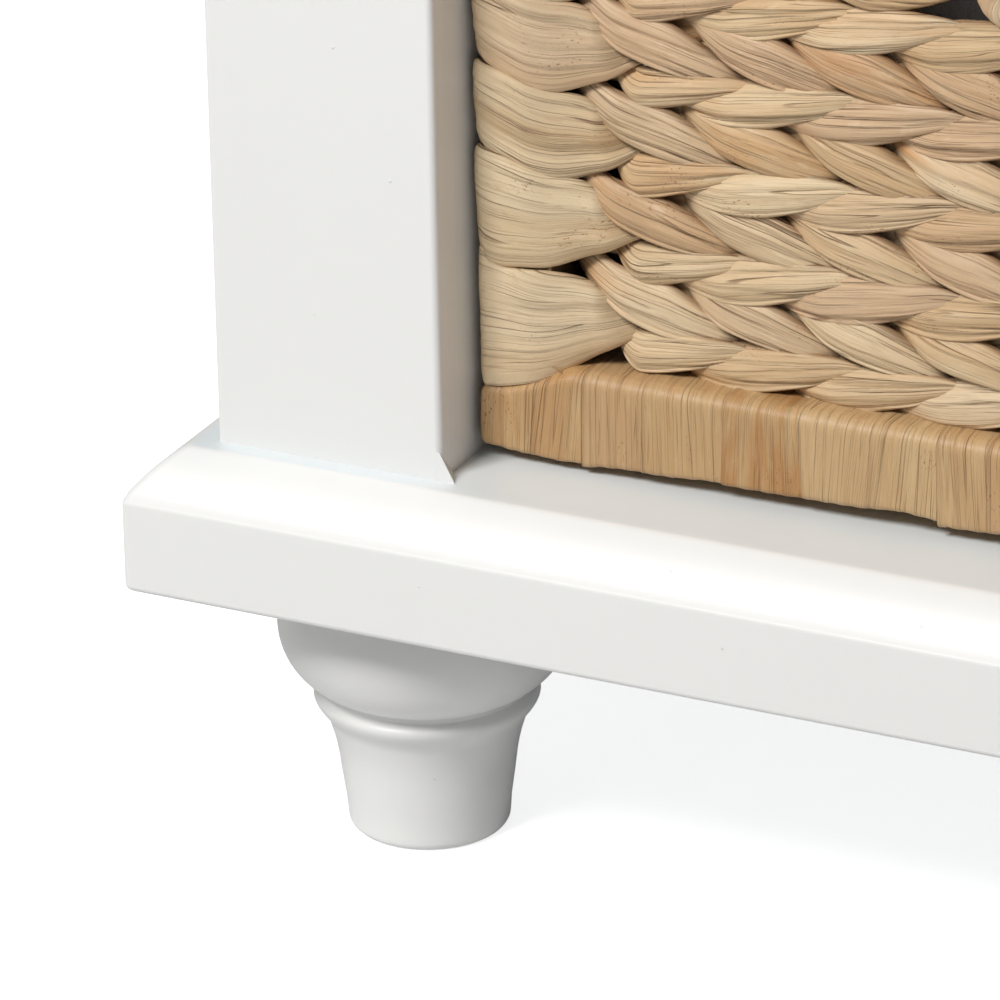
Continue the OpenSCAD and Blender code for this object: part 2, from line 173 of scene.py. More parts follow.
def smooth01(x):
    x = np.clip(x, 0, 1)
    return x * x * (3 - 2 * x)


def with_ends(values, n, ns, nr):
    """Point values for the lofted tubes, with the two end points of each tube appended."""
    v = values.reshape(n, ns, nr, -1)
    ends = np.stack([v[:, 0].mean(1), v[:, -1].mean(1)], 1).reshape(2 * n, -1)
    return np.concatenate([v.reshape(n * ns * nr, -1), ends])

# ---------------------------------------------------------------- materials
class Mat:
    """A node material on one Principled shader."""

    def __init__(self, name, **values):
        self.m = bpy.data.materials.new(name)
        self.m.use_nodes = True
        self.t = self.m.node_tree
        self.t.nodes.clear()
        self.out = self.t.nodes.new("ShaderNodeOutputMaterial")
        self.b = self.t.nodes.new("ShaderNodeBsdfPrincipled")
        self.t.links.new(self.b.outputs[0], self.out.inputs[0])
        for k, v in values.items():
            self.b.inputs[k].default_value = v

    def node(self, kind, props=None, **inputs):
        n = self.t.nodes.new("ShaderNode" + kind)
        for k, v in (props or {}).items():
            setattr(n, k, v)
        for k, v in inputs.items():
            key = int(k[1:]) if k[0] == "_" else k.replace("_", " ")
            if isinstance(v, bpy.types.NodeSocket):
                self.t.links.new(v, n.inputs[key])
            else:
                n.inputs[key].default_value = v
        return n

    def coord(self):
        return self.node("TexCoord").outputs["Object"]

    def attr(self, name, out="Vector"):
        return self.node("Attribute", {"attribute_name": name}).outputs[out]

    def math(self, op, a, b=0.0, c=None, clamp=False):
        n = self.node("Math", {"operation": op, "use_clamp": clamp}, _0=a, _1=b)
        if c is not None:
            if isinstance(c, bpy.types.NodeSocket):
                self.t.links.new(c, n.inputs[2])
            else:
                n.inputs[2].default_value = c
        return n.outputs[0]

    def scaled(self, vec, s):
        return self.node("VectorMath", {"operation": "MULTIPLY"}, _0=vec, _1=s).outputs[0]

    def added(self, vec, s):
        return self.node("VectorMath", {"operation": "ADD"}, _0=vec, _1=s).outputs[0]

    def noise(self, vec, scale=1.0, detail=2.0, rough=0.5, out="Fac", distortion=0.0):
        n = self.node("TexNoise", None, Vector=vec, Scale=scale, Detail=detail, Roughness=rough, Distortion=distortion)
        return n.outputs[out]

    def ramp(self, fac, stops, interp="LINEAR", out="Color"):
        n = self.node("ValToRGB", None, Fac=fac)
        n.color_ramp.interpolation = interp
        el = n.color_ramp.elements
        while len(el) < len(stops):
            el.new(0.5)
        for e, (p, c) in zip(el, stops):
            e.position = p
            e.color = (c, c, c, 1) if isinstance(c, (int, float)) else (*c, 1)
        return n.outputs[out]

    def range(self, v, a0, a1, b0=0.0, b1=1.0, smooth=False):
        n = self.node("MapRange", {"interpolation_type": "SMOOTHSTEP" if smooth else "LINEAR"}, _0=v, _1=a0, _2=a1, _3=b0, _4=b1)
        return n.outputs[0]

    def mix(self, fac, a, b, mode="MIX"):
        n = self.node("Mix", {"data_type": "RGBA", "blend_type": mode})
        for key, v in ((0, fac), (6, a), (7, b)):
            if isinstance(v, bpy.types.NodeSocket):
                self.t.links.new(v, n.inputs[key])
            else:
                n.inputs[key].default_value = v if key == 0 else (*v, 1)[:4]
        return n.outputs[2]

    def bump(self, height, distance, strength=1.0, normal=None):
        n = self.node("Bump", None, Strength=strength, Distance=distance, Height=height)
        if normal is not None:
            self.t.links.new(normal, n.inputs["Normal"])
        return n.outputs[0]

    def link(self, socket, name):
        self.t.links.new(socket, self.b.inputs[name])


def srgb(r, g, b):
    """A colour given as 0 to 255 screen values, as linear light."""
    return tuple(((c / 255) / 12.92 if c / 255 <= 0.04045 else ((c / 255 + 0.055) / 1.055) ** 2.4) for c in (r, g, b))


def paint(name="white_paint", tint=(1.0, 1.0, 0.985), streaks=0.0, top=None):
    """Sprayed satin paint: fine orange peel, dust nibs under the coat, very faint tone changes, and here and there the sanding marks of the wood below."""
    m = Mat(name, **{"IOR": 1.47, "Coat Weight": 0.18, "Coat Roughness": 0.22})
    p = m.coord()
    big = m.noise(p, 9.0, 3.0)
    col = m.mix(big, tuple(0.800 * k for k in tint), tuple(0.835 * k for k in tint))
    cells = m.node("TexVoronoi", {"feature": "F1"}, Vector=p, Scale=150.0, Randomness=1.0)
    pick = m.node("SeparateColor", None, Color=cells.outputs["Color"])
    nib = m.math("MULTIPLY", m.range(cells.outputs["Distance"], 0.0, 0.085, 1.0, 0.0, True), m.math("GREATER_THAN", pick.outputs[0], 0.90))
    pit = m.math("MULTIPLY", m.range(cells.outputs["Distance"], 0.02, 0.075, 1.0, 0.0, True), m.math("GREATER_THAN", pick.outputs[1], 0.975))
    col = m.mix(m.math("MULTIPLY", pit, 0.30), col, (0.30, 0.29, 0.27))
    grain = m.noise(m.scaled(p, (900.0, 900.0, 14.0)), 1.0, 3.0, 0.6)
    if streaks:                                 # on the uprights' side faces only
        side = m.node("SeparateXYZ", None, Vector=m.node("TexCoord").outputs["Normal"])
        side = m.range(m.math("ABSOLUTE", side.outputs[0]), 0.6, 0.9, 0.0, 1.0, True)
        grain = m.math("MULTIPLY", grain, side)
        col = m.mix(m.range(grain, 0.38, 0.66, 0.0, streaks), col, tuple(0.62 * k for k in tint))
    if top is not None:                         # painted shade: the flat top takes the floor's darker, cooler shade tint, so that it reads with the floor board behind it
        z = m.node("SeparateXYZ", None, Vector=p).outputs[2]
        col = m.mix(m.range(z, (top - 0.028) * MM, (top - 0.004) * MM, 0.0, 1.0, True), col, tuple(0.815 * k for k in FLOOR_SHADE_TINT))
    m.link(col, "Base Color")
    m.link(m.range(m.noise(p, 60.0, 3.0), 0.3, 0.7, 0.34, 0.46), "Roughness")
    peel = m.noise(p, 420.0, 2.0, 0.55)
    h = m.math("MULTIPLY_ADD", nib, 2.2, m.math("MULTIPLY", peel, 0.10))
    h = m.math("MULTIPLY_ADD", pit, -0.8, h)
    if streaks:
        h = m.math("MULTIPLY_ADD", grain, 0.25, h)
    m.link(m.bump(h, 0.00014, 0.6), "Normal")
    return m.m


def raw_wood(name, a=(0.60, 0.44, 0.27), b=(0.46, 0.31, 0.17)):
    m = Mat(name, **{"IOR": 1.45})
    p = m.coord()
    g = m.noise(m.scaled(p, (14.0, 260.0, 260.0)), 1.0, 4.0, 0.6)
    rings = m.noise(m.scaled(p, (2.0, 36.0, 36.0)), 1.0, 2.0)
    m.link(m.mix(m.range(g, 0.35, 0.7), m.mix(rings, a, tuple(0.86 * v for v in a)), b), "Base Color")
    m.link(m.range(g, 0.3, 0.7, 0.55, 0.75), "Roughness")
    m.link(m.bump(g, 0.0002, 0.5), "Normal")
    return m.m


def zinc(name, tone=(0.62, 0.63, 0.64)):
    m = Mat(name, **{"Metallic": 1.0})
    p = m.coord()
    s = m.noise(p, 240.0, 3.0, 0.6)
    m.link(m.mix(s, tone, tuple(v * 0.78 for v in tone)), "Base Color")
    m.link(m.range(s, 0.3, 0.7, 0.28, 0.45), "Roughness")
    m.link(m.bump(s, 0.00005, 0.4), "Normal")
    return m.m


def straw(name, kind):
    """Dried hyacinth leaf. "fib" holds the place on the leaf: along and across it in millimetres, and a number for the
    leaf.
    "tint" holds the leaf's own tone (r: dark to pale, g: tan to orange, b: towards pink-grey, a: always 1).
    "tuck_tone_and_shade" darkens it to brown: partly the leaves' own browner ends, partly painted shade where strips go
    under one another, along leaf edges and at the strips' laps."""
    m = Mat(name, **{"IOR": 1.45, "Coat Weight": 0.10 if kind == "leaf" else 0.20, "Coat Roughness": 0.42})
    f = m.attr("fib")
    tint = m.node("SeparateColor", None, Color=m.attr("tint", "Color"))
    pale, warm, pink = tint.outputs[0], tint.outputs[1], tint.outputs[2]
    tuck_tone_and_shade = m.attr("tuck_tone_and_shade", "Fac")
    wide = kind == "wrap"
    fine = m.noise(m.scaled(f, (0.045, 3.0, 7.3)), 1.0, 2.5, 0.62)
    mid = m.noise(m.scaled(f, (0.035, 0.75, 3.1)), 1.0, 2.0, 0.55)
    broad = m.noise(m.scaled(f, (0.050, 0.22, 1.7)), 1.0, 2.0)
    mottle = m.noise(m.scaled(f, (0.16, 0.60, 5.1)), 1.0, 3.0, 0.6)
    # contour lines of a stretched noise: long dark creases that run together and fade
    field = m.noise(m.scaled(f, (0.0055, 0.24, 5.9)), 1.0, 1.0, 0.5)
    gap = m.math("ABSOLUTE", m.math("SUBTRACT", m.math("FRACT", m.math("MULTIPLY", field, 7.0)), 0.5))
    fade = m.range(m.noise(m.scaled(f, (0.022, 0.34, 2.3)), 1.0, 1.0), 0.40, 0.64, 0.0, 1.0, True)
    crease = m.math("MULTIPLY", m.range(gap, 0.050, 0.008, 0.0, 1.0, True), fade)
    field2 = m.noise(m.scaled(f, (0.010, 0.66, 9.1)), 1.0, 1.0, 0.5)
    gap2 = m.math("ABSOLUTE", m.math("SUBTRACT", m.math("FRACT", m.math("MULTIPLY", field2, 9.0)), 0.5))
    hair = m.math("MULTIPLY", m.range(gap2, 0.13, 0.02, 0.0, 1.0, True), m.range(m.noise(m.scaled(f, (0.035, 0.9, 4.3)), 1.0, 1.0), 0.42, 0.68, 0.0, 1.0, True))
    speck = m.noise(m.scaled(f, (1.1, 2.2, 1.0)), 1.0, 2.0)
    patch = m.range(m.noise(m.scaled(f, (0.06, 0.12, 13.0)), 1.0, 1.0), 0.60, 0.72, 0.0, 1.0, True)
    speck = m.math("MULTIPLY", m.range(speck, 0.60, 0.72, 0.0, 1.0, True), m.math("ADD", m.math("MULTIPLY", patch, 0.9), 0.06))
    if kind == "leaf":
        cream, tan, orange, rose, dark = srgb(224, 204, 169), srgb(192, 160, 117), srgb(198, 144, 86), srgb(193, 158, 126), srgb(108, 70, 36)
    else:
        cream, tan, orange, rose, dark = srgb(204, 174, 129), srgb(186, 150, 103), srgb(176, 129, 78), srgb(186, 149, 113), srgb(108, 70, 37)
    col = m.mix(m.math("ADD", m.math("MULTIPLY", mid, 0.60), m.math("MULTIPLY_ADD", pale, 0.95, -0.25), clamp=True), tan, cream)
    col = m.mix(m.math("MULTIPLY", warm, m.range(broad, 0.32, 0.60), clamp=True), col, orange)
    col = m.mix(m.math("MULTIPLY", pink, 0.75, clamp=True), col, rose)
    col = m.mix(m.range(mottle, 0.56, 0.72, 0.0, 0.42, True), col, rose)
    col = m.mix(m.range(mottle, 0.44, 0.28, 0.0, 0.34, True), col, cream)
    col = m.mix(m.range(fine, 0.46, 0.26, 0.0, 0.30 if not wide else 0.36), col, dark)
    col = m.mix(m.range(fine, 0.54, 0.78, 0.0, 0.34), col, cream)
    col = m.mix(m.math("MULTIPLY", crease, 0.68 if not wide else 0.42), col, dark)
    col = m.mix(m.math("MULTIPLY", hair, 0.42 if not wide else 0.30), col, dark)
    col = m.mix(m.math("MULTIPLY", speck, 0.80), col, srgb(120, 58, 28))
    # browner leaf ends, and painted shade where strips go under one another, along leaf edges and at laps
    col = m.mix(m.math("MULTIPLY", tuck_tone_and_shade, 0.85), col, srgb(104, 64, 32))
    m.link(col, "Base Color")
    m.link(m.range(mid, 0.3, 0.7, 0.62, 0.48) if kind == "leaf" else m.range(mid, 0.3, 0.7, 0.58, 0.48), "Roughness")
    h = m.math("MULTIPLY_ADD", fine, 0.30, m.math("MULTIPLY", mid, 0.30 if not wide else 0.12))
    h = m.math("MULTIPLY_ADD", crease, -0.70 if not wide else -0.35, h)
    h = m.math("MULTIPLY_ADD", hair, -0.32 if not wide else -0.2, h)
    m.link(m.bump(h, 0.00055, 0.95), "Normal")
    return m.m


def cloth(name, colour, pitch=0.00075, vary=0.06):
    """A plain woven cloth, its threads crossing in object space."""
    m = Mat(name, **{"Sheen Weight": 0.25, "Sheen Roughness": 0.5, "IOR": 1.4})
    p = m.coord()
    k = 2 * math.pi / pitch
    sep = m.node("SeparateXYZ", None, Vector=p)
    wob = m.noise(p, 30.0, 2.0)
    xs = m.math("SINE", m.math("MULTIPLY_ADD", m.math("ADD", sep.outputs[0], m.math("MULTIPLY", sep.outputs[2], 0.31)), k, m.math("MULTIPLY", wob, 5.0)))
    ys = m.math("SINE", m.math("MULTIPLY_ADD", m.math("ADD", sep.outputs[1], m.math("MULTIPLY", sep.outputs[2], 0.93)), k, m.math("MULTIPLY", wob, 4.0)))
    weave = m.math("MULTIPLY_ADD", m.math("MULTIPLY", xs, ys), 0.5, 0.5)
    slub = m.noise(m.scaled(p, (60.0, 900.0, 900.0)), 1.0, 2.0)
    fac = m.math("MULTIPLY_ADD", weave, 0.55, m.math("MULTIPLY", slub, 0.45))
    m.link(m.mix(fac, tuple(v * (1 - 3 * vary) for v in colour), tuple(min(1, v * (1 + vary)) for v in colour)), "Base Color")
    m.link(m.range(slub, 0.3, 0.7, 0.78, 0.92), "Roughness")
    m.link(m.bump(fac, 0.00025, 0.6), "Normal")
    return m.m


# painted shade: a darker, cooler white for the cubby floor and the moulding's flat top, standing in for their shade and
# cancelling the warm bounce light off the baskets
FLOOR_SHADE_TINT = (0.925, 0.975, 0.995)
M_PAINT = paint()
M_FLOOR_SHADE_PAINT = paint("white_paint_floor_shade", FLOOR_SHADE_TINT)
M_MOULD_PAINT_SHADED_TOP = paint("white_paint_moulding_shaded_top", top=float(ZF))
M_POST_PAINT = paint("white_paint_post", (1.0, 1.0, 0.985), 0.16)
M_WOOD = raw_wood("raw_wood")
# the basket frames' cane: a dark brown, partly the cane's own tone and partly painted shade, so that what shows through
# the weave's gaps reads as shade
M_CANE_SHADE_DARK = raw_wood("frame_cane_shade_dark", (0.27, 0.18, 0.10), (0.18, 0.115, 0.06))
M_ZINC = zinc("zinc_steel")
M_WIRE = zinc("galvanised_wire", (0.66, 0.67, 0.68))
M_LEAF = straw("hyacinth_leaf", "leaf")
M_WRAP = straw("hyacinth_wrap", "wrap")
M_LINER = cloth("liner_cloth", srgb(222, 228, 236))
M_LINEN = cloth("cushion_linen", srgb(214, 205, 188), 0.0009)


def foam():
    """Open-cell foam: fine pits and slight yellowing."""
    m = Mat("foam")
    p = m.coord()
    cells = m.node("TexVoronoi", {"feature": "F1"}, Vector=p, Scale=900.0, Randomness=1.0).outputs["Distance"]
    m.link(m.mix(m.noise(p, 14.0, 3.0), (0.86, 0.80, 0.62), (0.80, 0.72, 0.50)), "Base Color")
    m.link(m.range(cells, 0.0, 0.8, 0.95, 0.75), "Roughness")
    m.link(m.bump(cells, 0.0004, 0.7), "Normal")
    return m.m


def zip_tape():
    """Zip tape with its row of coil teeth down the middle."""
    m = Mat("zip_tape")
    p = m.coord()
    sep = m.node("SeparateXYZ", None, Vector=p)
    teeth = m.math("SINE", m.math("MULTIPLY", sep.outputs[0], 2 * math.pi / 0.0021))
    mid = m.range(m.math("ABSOLUTE", m.math("SUBTRACT", sep.outputs[2], (C_ZIP_Z) * MM)), 0.0012, 0.0016, 1.0, 0.0)
    rib = m.noise(m.scaled(p, (900.0, 900.0, 260.0)), 1.0, 2.0)
    fac = m.math("MULTIPLY", m.range(teeth, -0.2, 0.4), mid)
    col = m.mix(rib, srgb(204, 195, 178), srgb(188, 178, 160))
    m.link(m.mix(fac, col, srgb(226, 220, 206)), "Base Color")
    m.link(m.range(mid, 0.0, 1.0, 0.85, 0.42), "Roughness")
    m.link(m.bump(m.math("MULTIPLY_ADD", fac, 1.0, m.math("MULTIPLY", rib, 0.3)), 0.0005, 0.8), "Normal")
    return m.m


C_ZIP_Z = float(sum(v[2] for v in box_mm("cushion_zip")) / 2)
M_FOAM = foam()
M_ZIP = zip_tape()

# ---------------------------------------------------------------- painted case
def finish_piece(o, body, nodes=(), mat=None):
    if mat is not None:
        o.data.materials.clear()
        o.data.materials.append(mat)
    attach(o, body)
    if nodes:
        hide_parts(*nodes)
    return o


def eased(name, nodes, width=0.45, segments=2, angle=32.0, body="case", mat=None, keep=None):
    """The nodes' own shape with its sharp edges eased as sanding and paint leave them."""
    bm = bmesh_of(nodes)
    bm.normal_update()
    edges = [e for e in bm.edges if len(e.link_faces) == 2 and e.calc_face_angle(0.0) > math.radians(angle)]
    if keep:                                    # edges that paint fills and that stay square
        edges = [e for e in edges if not keep((e.verts[0].co + e.verts[1].co) / (2 * MM))]
    bmesh.ops.bevel(bm, geom=edges, offset=width * MM, segments=segments, profile=0.5, affect="EDGES", clamp_overlap=True)
    me = bpy.data.meshes.new(name)
    bm.to_mesh(me)
    bm.free()
    me.polygons.foreach_set("use_smooth", np.full(len(me.polygons), True))
    me.set_sharp_from_angle(angle=math.radians(60))
    o = bpy.data.objects.new(name, me)
    scene.collection.objects.link(o)
    even_normals(o)
    return finish_piece(o, body, nodes, mat or M_PAINT)


def even_normals(o):
    """Large faces keep their own normal, and only the eased edges between them turn."""
    m = o.modifiers.new("Weighted normals", "WEIGHTED_NORMAL")
    m.keep_sharp = True
    m.weight = 70
    bpy.context.view_layer.objects.active = o
    for x in bpy.context.selected_objects:
        x.select_set(False)
    o.select_set(True)
    bpy.ops.object.modifier_apply(modifier=m.name)


def bmesh_of(nodes):
    bm = bmesh.new()
    for n in nodes:
        bm.from_mesh(frame["nodes"][n].data)
    bmesh.ops.remove_doubles(bm, verts=bm.verts, dist=3e-6)
    bmesh.ops.dissolve_limit(bm, angle_limit=math.radians(0.5), verts=bm.verts, edges=bm.edges)
    return bm


def arc(cx, cy, r, a0, a1, n):
    a = np.radians(np.linspace(a0, a1, n + 1))
    return [(cx + r * math.cos(x), cy + r * math.sin(x)) for x in a]


# The base moulding: out from the case's face and up from its underside
MO_LO, MO_HI = box_mm("base_moulding_front")
PROJ, MH = OY - MO_LO[1], MO_HI[2] - MO_LO[2]
Z_MO = MO_LO[2]
CASE_D = box_mm("base_moulding_left")[1][1] - OY
FACE_H, LEDGE = 22.9, 5.3


def slope(t):
    return PROJ - (PROJ - LEDGE) * t, FACE_H + (MH - FACE_H) * (t + 0.1 * math.sin(math.pi * t))


def mould_points():
    pts = [(0.0, 0.0)] + [(PROJ - 3.2, 0.0)] + arc(PROJ - 1.7, 1.7, 1.7, -90, 0, 7)
    pts += [(PROJ, 8.0), (PROJ, 16.0), (PROJ, FACE_H - 1.15), (PROJ - 0.05, FACE_H - 0.72), (PROJ - 0.22, FACE_H - 0.30), (PROJ - 0.52, FACE_H + 0.02)]
    pts += [slope(t) for t in np.linspace(0.09, 0.90, 11)]
    x, z = slope(0.90)
    pts += [(LEDGE + 0.62, MH - 0.42), (LEDGE + 0.10, MH - 0.13), (LEDGE - 0.55, MH - 0.02), (LEDGE - 1.2, MH), (LEDGE - 1.6, MH), (2.6, MH), (1.4, MH), (0.9, MH)]
    pts += [(0.45, MH), (0.02, MH), (0.0, MH - 0.02), (0.0, MH - 0.7)]
    return np.array(pts)


def sweep_round(pts, back_y, n_arc=7, soft=1.9):
    """A section carried along the left side, round the front corners and back along the right side."""
    e, z = pts[:, 0], pts[:, 1]
    rho = np.minimum(np.maximum(e, 1e-3), soft)
    rings = []
    for y in (back_y, back_y * 0.66, back_y * 0.33, 4.0):
        rings.append(np.stack([OX - e, np.full_like(e, OY + y), z], 1))
    for k in range(n_arc + 1):
        f = math.pi / 2 * k / n_arc
        rings.append(np.stack([OX - e + rho - rho * math.cos(f), OY - e + rho - rho * math.sin(f), z], 1))
    for x in np.linspace(0.02, 0.98, 25):
        rings.append(np.stack([np.full_like(e, OX + CASE_W * x), OY - e, z], 1))
    left = [r.copy() for r in rings[:4 + n_arc + 1]][::-1]
    for r in left:
        r[:, 0] = -r[:, 0]
    rings += left
    return np.array(rings)[None]


def trim_moulding(name, pts, z0, nodes, back_y):
    P = sweep_round(pts, back_y)
    P[..., 2] += z0
    V, q, t = loft(P)
    o = mesh_obj(name, V, q, t)
    recalc(o)
    o.data.set_sharp_from_angle(angle=math.radians(50))
    even_normals(o)
    return finish_piece(o, "case", nodes, M_MOULD_PAINT_SHADED_TOP)


def recalc(o):
    bm = bmesh.new()
    bm.from_mesh(o.data)
    bmesh.ops.recalc_face_normals(bm, faces=bm.faces)
    bm.to_mesh(o.data)
    bm.free()


def foot_profile():
    k = Z_MO / 70.4
    p = [(0.01, 0.0), (8.0, 0.0), (14.0, 0.0)] + arc(16.6, 2.5, 2.5, -90, -4, 9)
    p += [(19.22, 4.0), (19.45, 7.0), (19.95, 10.5), (20.5, 14.5), (20.95, 18.2), (21.3, 20.4), (21.7, 22.4), (22.2, 24.4), (22.75, 26.2), (22.96, 26.9),
          (23.14, 27.5), (23.36, 28.1), (23.64, 28.7), (23.98, 29.3), (24.38, 29.9), (24.80, 30.45), (25.22, 31.0), (25.62, 31.55), (25.98, 32.1),
          (26.28, 32.65), (26.50, 33.2), (26.60, 33.7), (26.58, 34.15), (26.40, 34.6), (26.10, 34.98), (25.72, 35.25), (25.34, 35.5), (25.0, 35.7), (24.75, 35.95)]
    p += arc(18, 52.4, 16.6, -65.5, 61, 30)
    p += [(26.0, 67.15), (25.75, 67.5), (25.9, 67.95), (26.5, 68.35), (27.2, 68.9), (27.7, 69.5), (27.9, 70.4), (14.0, 70.4), (0.01, 70.4)]
    return np.array(p) * [1, k]


def turned(name, cx, cy, prof, n=144):
    a = np.linspace(0, 2 * math.pi, n, endpoint=False)
    r, z = prof[:, 0], prof[:, 1]
    P = np.stack([cx + r[:, None] * np.cos(a), cy + r[:, None] * np.sin(a), np.repeat(z[:, None], n, 1)], -1)[None]
    V, q, t = loft(P)
    o = mesh_obj(name, V, q, t)
    recalc(o)
    o.data.set_sharp_from_angle(angle=math.radians(42))
    return o



trim_moulding("base_moulding", mould_points(), Z_MO, ("base_moulding_front", "base_moulding_left", "base_moulding_right"), CASE_D)
for corner in ("front_left", "front_right", "back_left", "back_right"):
    lo, hi = box_mm("foot_" + corner)
    c = (lo + hi) / 2
    finish_piece(turned("turned_foot_" + corner, c[0], c[1], foot_profile()), "case", ("foot_" + corner,), M_PAINT)

for label, nodes, width in (
    ("floor", ("floor_board",), 0.35),
    ("base_frame", ("base_rails", "base_cross_rails"), 0.5),
    ("corner_post_front_left", ("post_front_left",), 0.4),
    ("corner_post_front_right", ("post_front_right",), 0.4),
    ("corner_post_back_left", ("post_back_left",), 0.4),
    ("corner_post_back_right", ("post_back_right",), 0.4),
    ("side_frame_rails", ("side_rails_bottom", "side_rails_top"), 0.4),
    ("side_panel_l", ("side_panel_left",), 0.3),
    ("side_panel_r", ("side_panel_right",), 0.3),
    ("cubby_wall_l", ("inner_wall_left",), 0.3),
    ("cubby_wall_r", ("inner_wall_right",), 0.3),
    ("front_stile_l", ("stile_left",), 0.4),
    ("front_stile_r", ("stile_right",), 0.4),
    ("cubby_divider_l", ("divider_left",), 0.4),
    ("cubby_divider_r", ("divider_right",), 0.4),
    ("rear_panel", ("back_panel",), 0.3),
    ("rear_rails", ("back_rails",), 0.4),
    ("front_top_rail", ("top_rail_front",), 0.4),
    ("seat_top_board", ("seat_board",), 0.5),
    ("seat_cove", ("seat_mouldings",), 0.3),
):
    if label == "floor":
        # the cubby floor gets the darker, cooler painted-shade white
        eased(label, nodes, width, keep=lambda c: c.y < OY + 1, mat=M_FLOOR_SHADE_PAINT)
    else:
        upright = label.startswith(("corner_post", "front_stile"))
        eased(label, nodes, width, keep=(lambda c: c.z < ZF + 0.5) if upright else None, mat=M_POST_PAINT if upright else None)

eased("corner_block_set", ("corner_blocks",), 0.5)

# Caulked nooks where the posts and stiles meet the cubby floor
def nook(x, side):
    """A small sloped fillet in the corner between an upright and the floor, at the uprights' front."""
    P = np.array([(0, 0, 0), (3.3 * side + 0.6 * side, 0, 0), (0, 0, 7.3), (0, 7.1, 0), (0, 0, 0), (0, 0, 0)], float)
    P[4], P[5] = (-0.9 * side, 0, 0), (-0.9 * side, 0, 7.3)            # laps over the upright's eased edge
    P += [x - 0.3 * side, OY - 0.015, ZF - 0.3]
    P[[4, 5, 2], 1] += (0, 0, 0.0)
    f = [(4, 1, 0), (0, 1, 2), (4, 0, 2), (4, 2, 5), (1, 3, 2), (4, 3, 1), (4, 5, 3), (5, 2, 3)]
    return P, (f if side > 0 else [t[::-1] for t in f])


ST = [box_mm("stile_left"), box_mm("stile_right")]
edges = [(OX + POST_W, 1), (ST[0][0][0], -1), (ST[0][1][0], 1), (ST[1][0][0], -1), (ST[1][1][0], 1), (-(OX + POST_W), -1)]
V, T = [], []
for x, side in edges:
    P, f = nook(x, side)
    T += [tuple(i + len(V) for i in tri) for tri in f]
    V += list(P)
o = mesh_obj("corner_caulk", V, None, T, smooth=False)
recalc(o)
finish_piece(o, "case", (), M_PAINT)

for n, m in (("foot_hanger_bolts", M_ZINC), ("foot_tee_nuts", M_ZINC), ("dowels", M_WOOD), ("seat_blocks", M_WOOD), ("seat_screws", M_ZINC)):
    me = frame["nodes"][n].data
    me.materials.clear()
    me.materials.append(m)
for b in BASKETS:
    for n, m in ((f"basket_{b}_frame", M_CANE_SHADE_DARK), (f"basket_{b}_stakes", M_WIRE)):
        me = frame["nodes"][n].data
        me.materials.clear()
        me.materials.append(m)

# ---------------------------------------------------------------- twined leaves
ROW0, ROW_STEP, ROWS = 30.7, 10.43, 16
STAKE_IN, STAKES = 37.7, 11
HOLE_C, HOLE_W, HOLE_H = 139.4, 86.8, 35.3      # middle line of the hand hole's binding


def wall(b, side):
    """A wall's frame: u along it, v up from the cubby floor, w out from the stakes."""
    x0, x1, y0, y1 = B_X[b], B_X[b] + B_W, B_Y, B_Y + B_D
    k = WALL_IN
    O, U, N, W = {
        "front": ((x0, y0 + k), (1, 0), (0, -1), B_W),
        "right": ((x1 - k, y0), (0, 1), (1, 0), B_D),
        "back": ((x1, y1 - k), (-1, 0), (0, 1), B_W),
        "left": ((x0 + k, y1), (0, -1), (-1, 0), B_D),
    }[side]
    return np.array([*O, ZF]), np.array([*U, 0.0]), np.array([*N, 0.0]), W


def on_wall(wl, u, v, w):
    O, U, N, _ = wl
    return O + u[..., None] * U + w[..., None] * N + v[..., None] * np.array([0, 0, 1.0])


def section_angles(nf, nb):
    s = np.linspace(0, 1, nf)
    front = 0.35 * math.pi * s + 0.65 * np.arccos(1 - 2 * s)
    back = np.linspace(math.pi, 2 * math.pi, nb + 2)[1:-1]
    return np.concatenate([front, back])


def folds(q, t, rng, n, count=6, depth=(0.08, 0.5), q_range=0.9):
    """Lengthwise creases and pleats on a leaf's face, in millimetres of height."""
    def r(a, b):
        return rng.uniform(a, b, (n, 1, 1))
    h = 0.0
    for j in range(count):
        qj, drift, sig = r(-q_range, q_range), r(-0.22, 0.22), r(0.028, 0.075)
        d = r(*depth) * (rng.uniform(0, 1, (n, 1, 1)) < 0.8)
        tc, hl = r(-0.6, 0.9), r(0.45, 1.3)
        env = smooth01(1.6 * (1 - np.abs(t - tc) / hl))
        x = q - qj - drift * t - 0.05 * np.sin(r(2.0, 4.5) * t + r(0, 6.28))
        h = h + d * env * (-np.exp(-np.abs(x / sig) ** 1.5) + 0.42 * np.tanh(x / sig) * np.exp(-(x / 0.30) ** 2))
    h = h + r(0.05, 0.22) * np.cos(math.pi * r(1.4, 3.6) * q + r(0, 6.28) + r(-1.2, 1.2) * t)
    return h


# Middle line and half width of a leaf, by its place along the row from its stake
FALL = np.array([(-19, 5.7, 0.3), (-18.2, 5.4, 1.5), (-16, 4.8, 2.3), (-14, 4.2, 3.1), (-10, 2.75, 4.4), (-6, 1.2, 5.3), (0, -0.2, 5.8), (5.5, -1.3, 6.0), (10, -2.7, 5.2),
                 (15, -4.3, 3.9), (19, -5.9, 2.2), (22.5, -7.0, 0.9), (25, -7.5, 0.1)])
RISE = np.array([(-22, -3.3, 0.3), (-21.2, -3.2, 1.5), (-19, -3.0, 2.7), (-16, -2.8, 3.8), (-12, -2.7, 4.6), (-6.5, -2.6, 5.2), (-1, -1.7, 5.9), (4, -1.0, 5.8), (9.5, 0.0, 5.1),
                 (15, 0.8, 4.1), (21, 1.9, 2.7), (26, 2.4, 1.4), (31, 2.6, 0.15)])


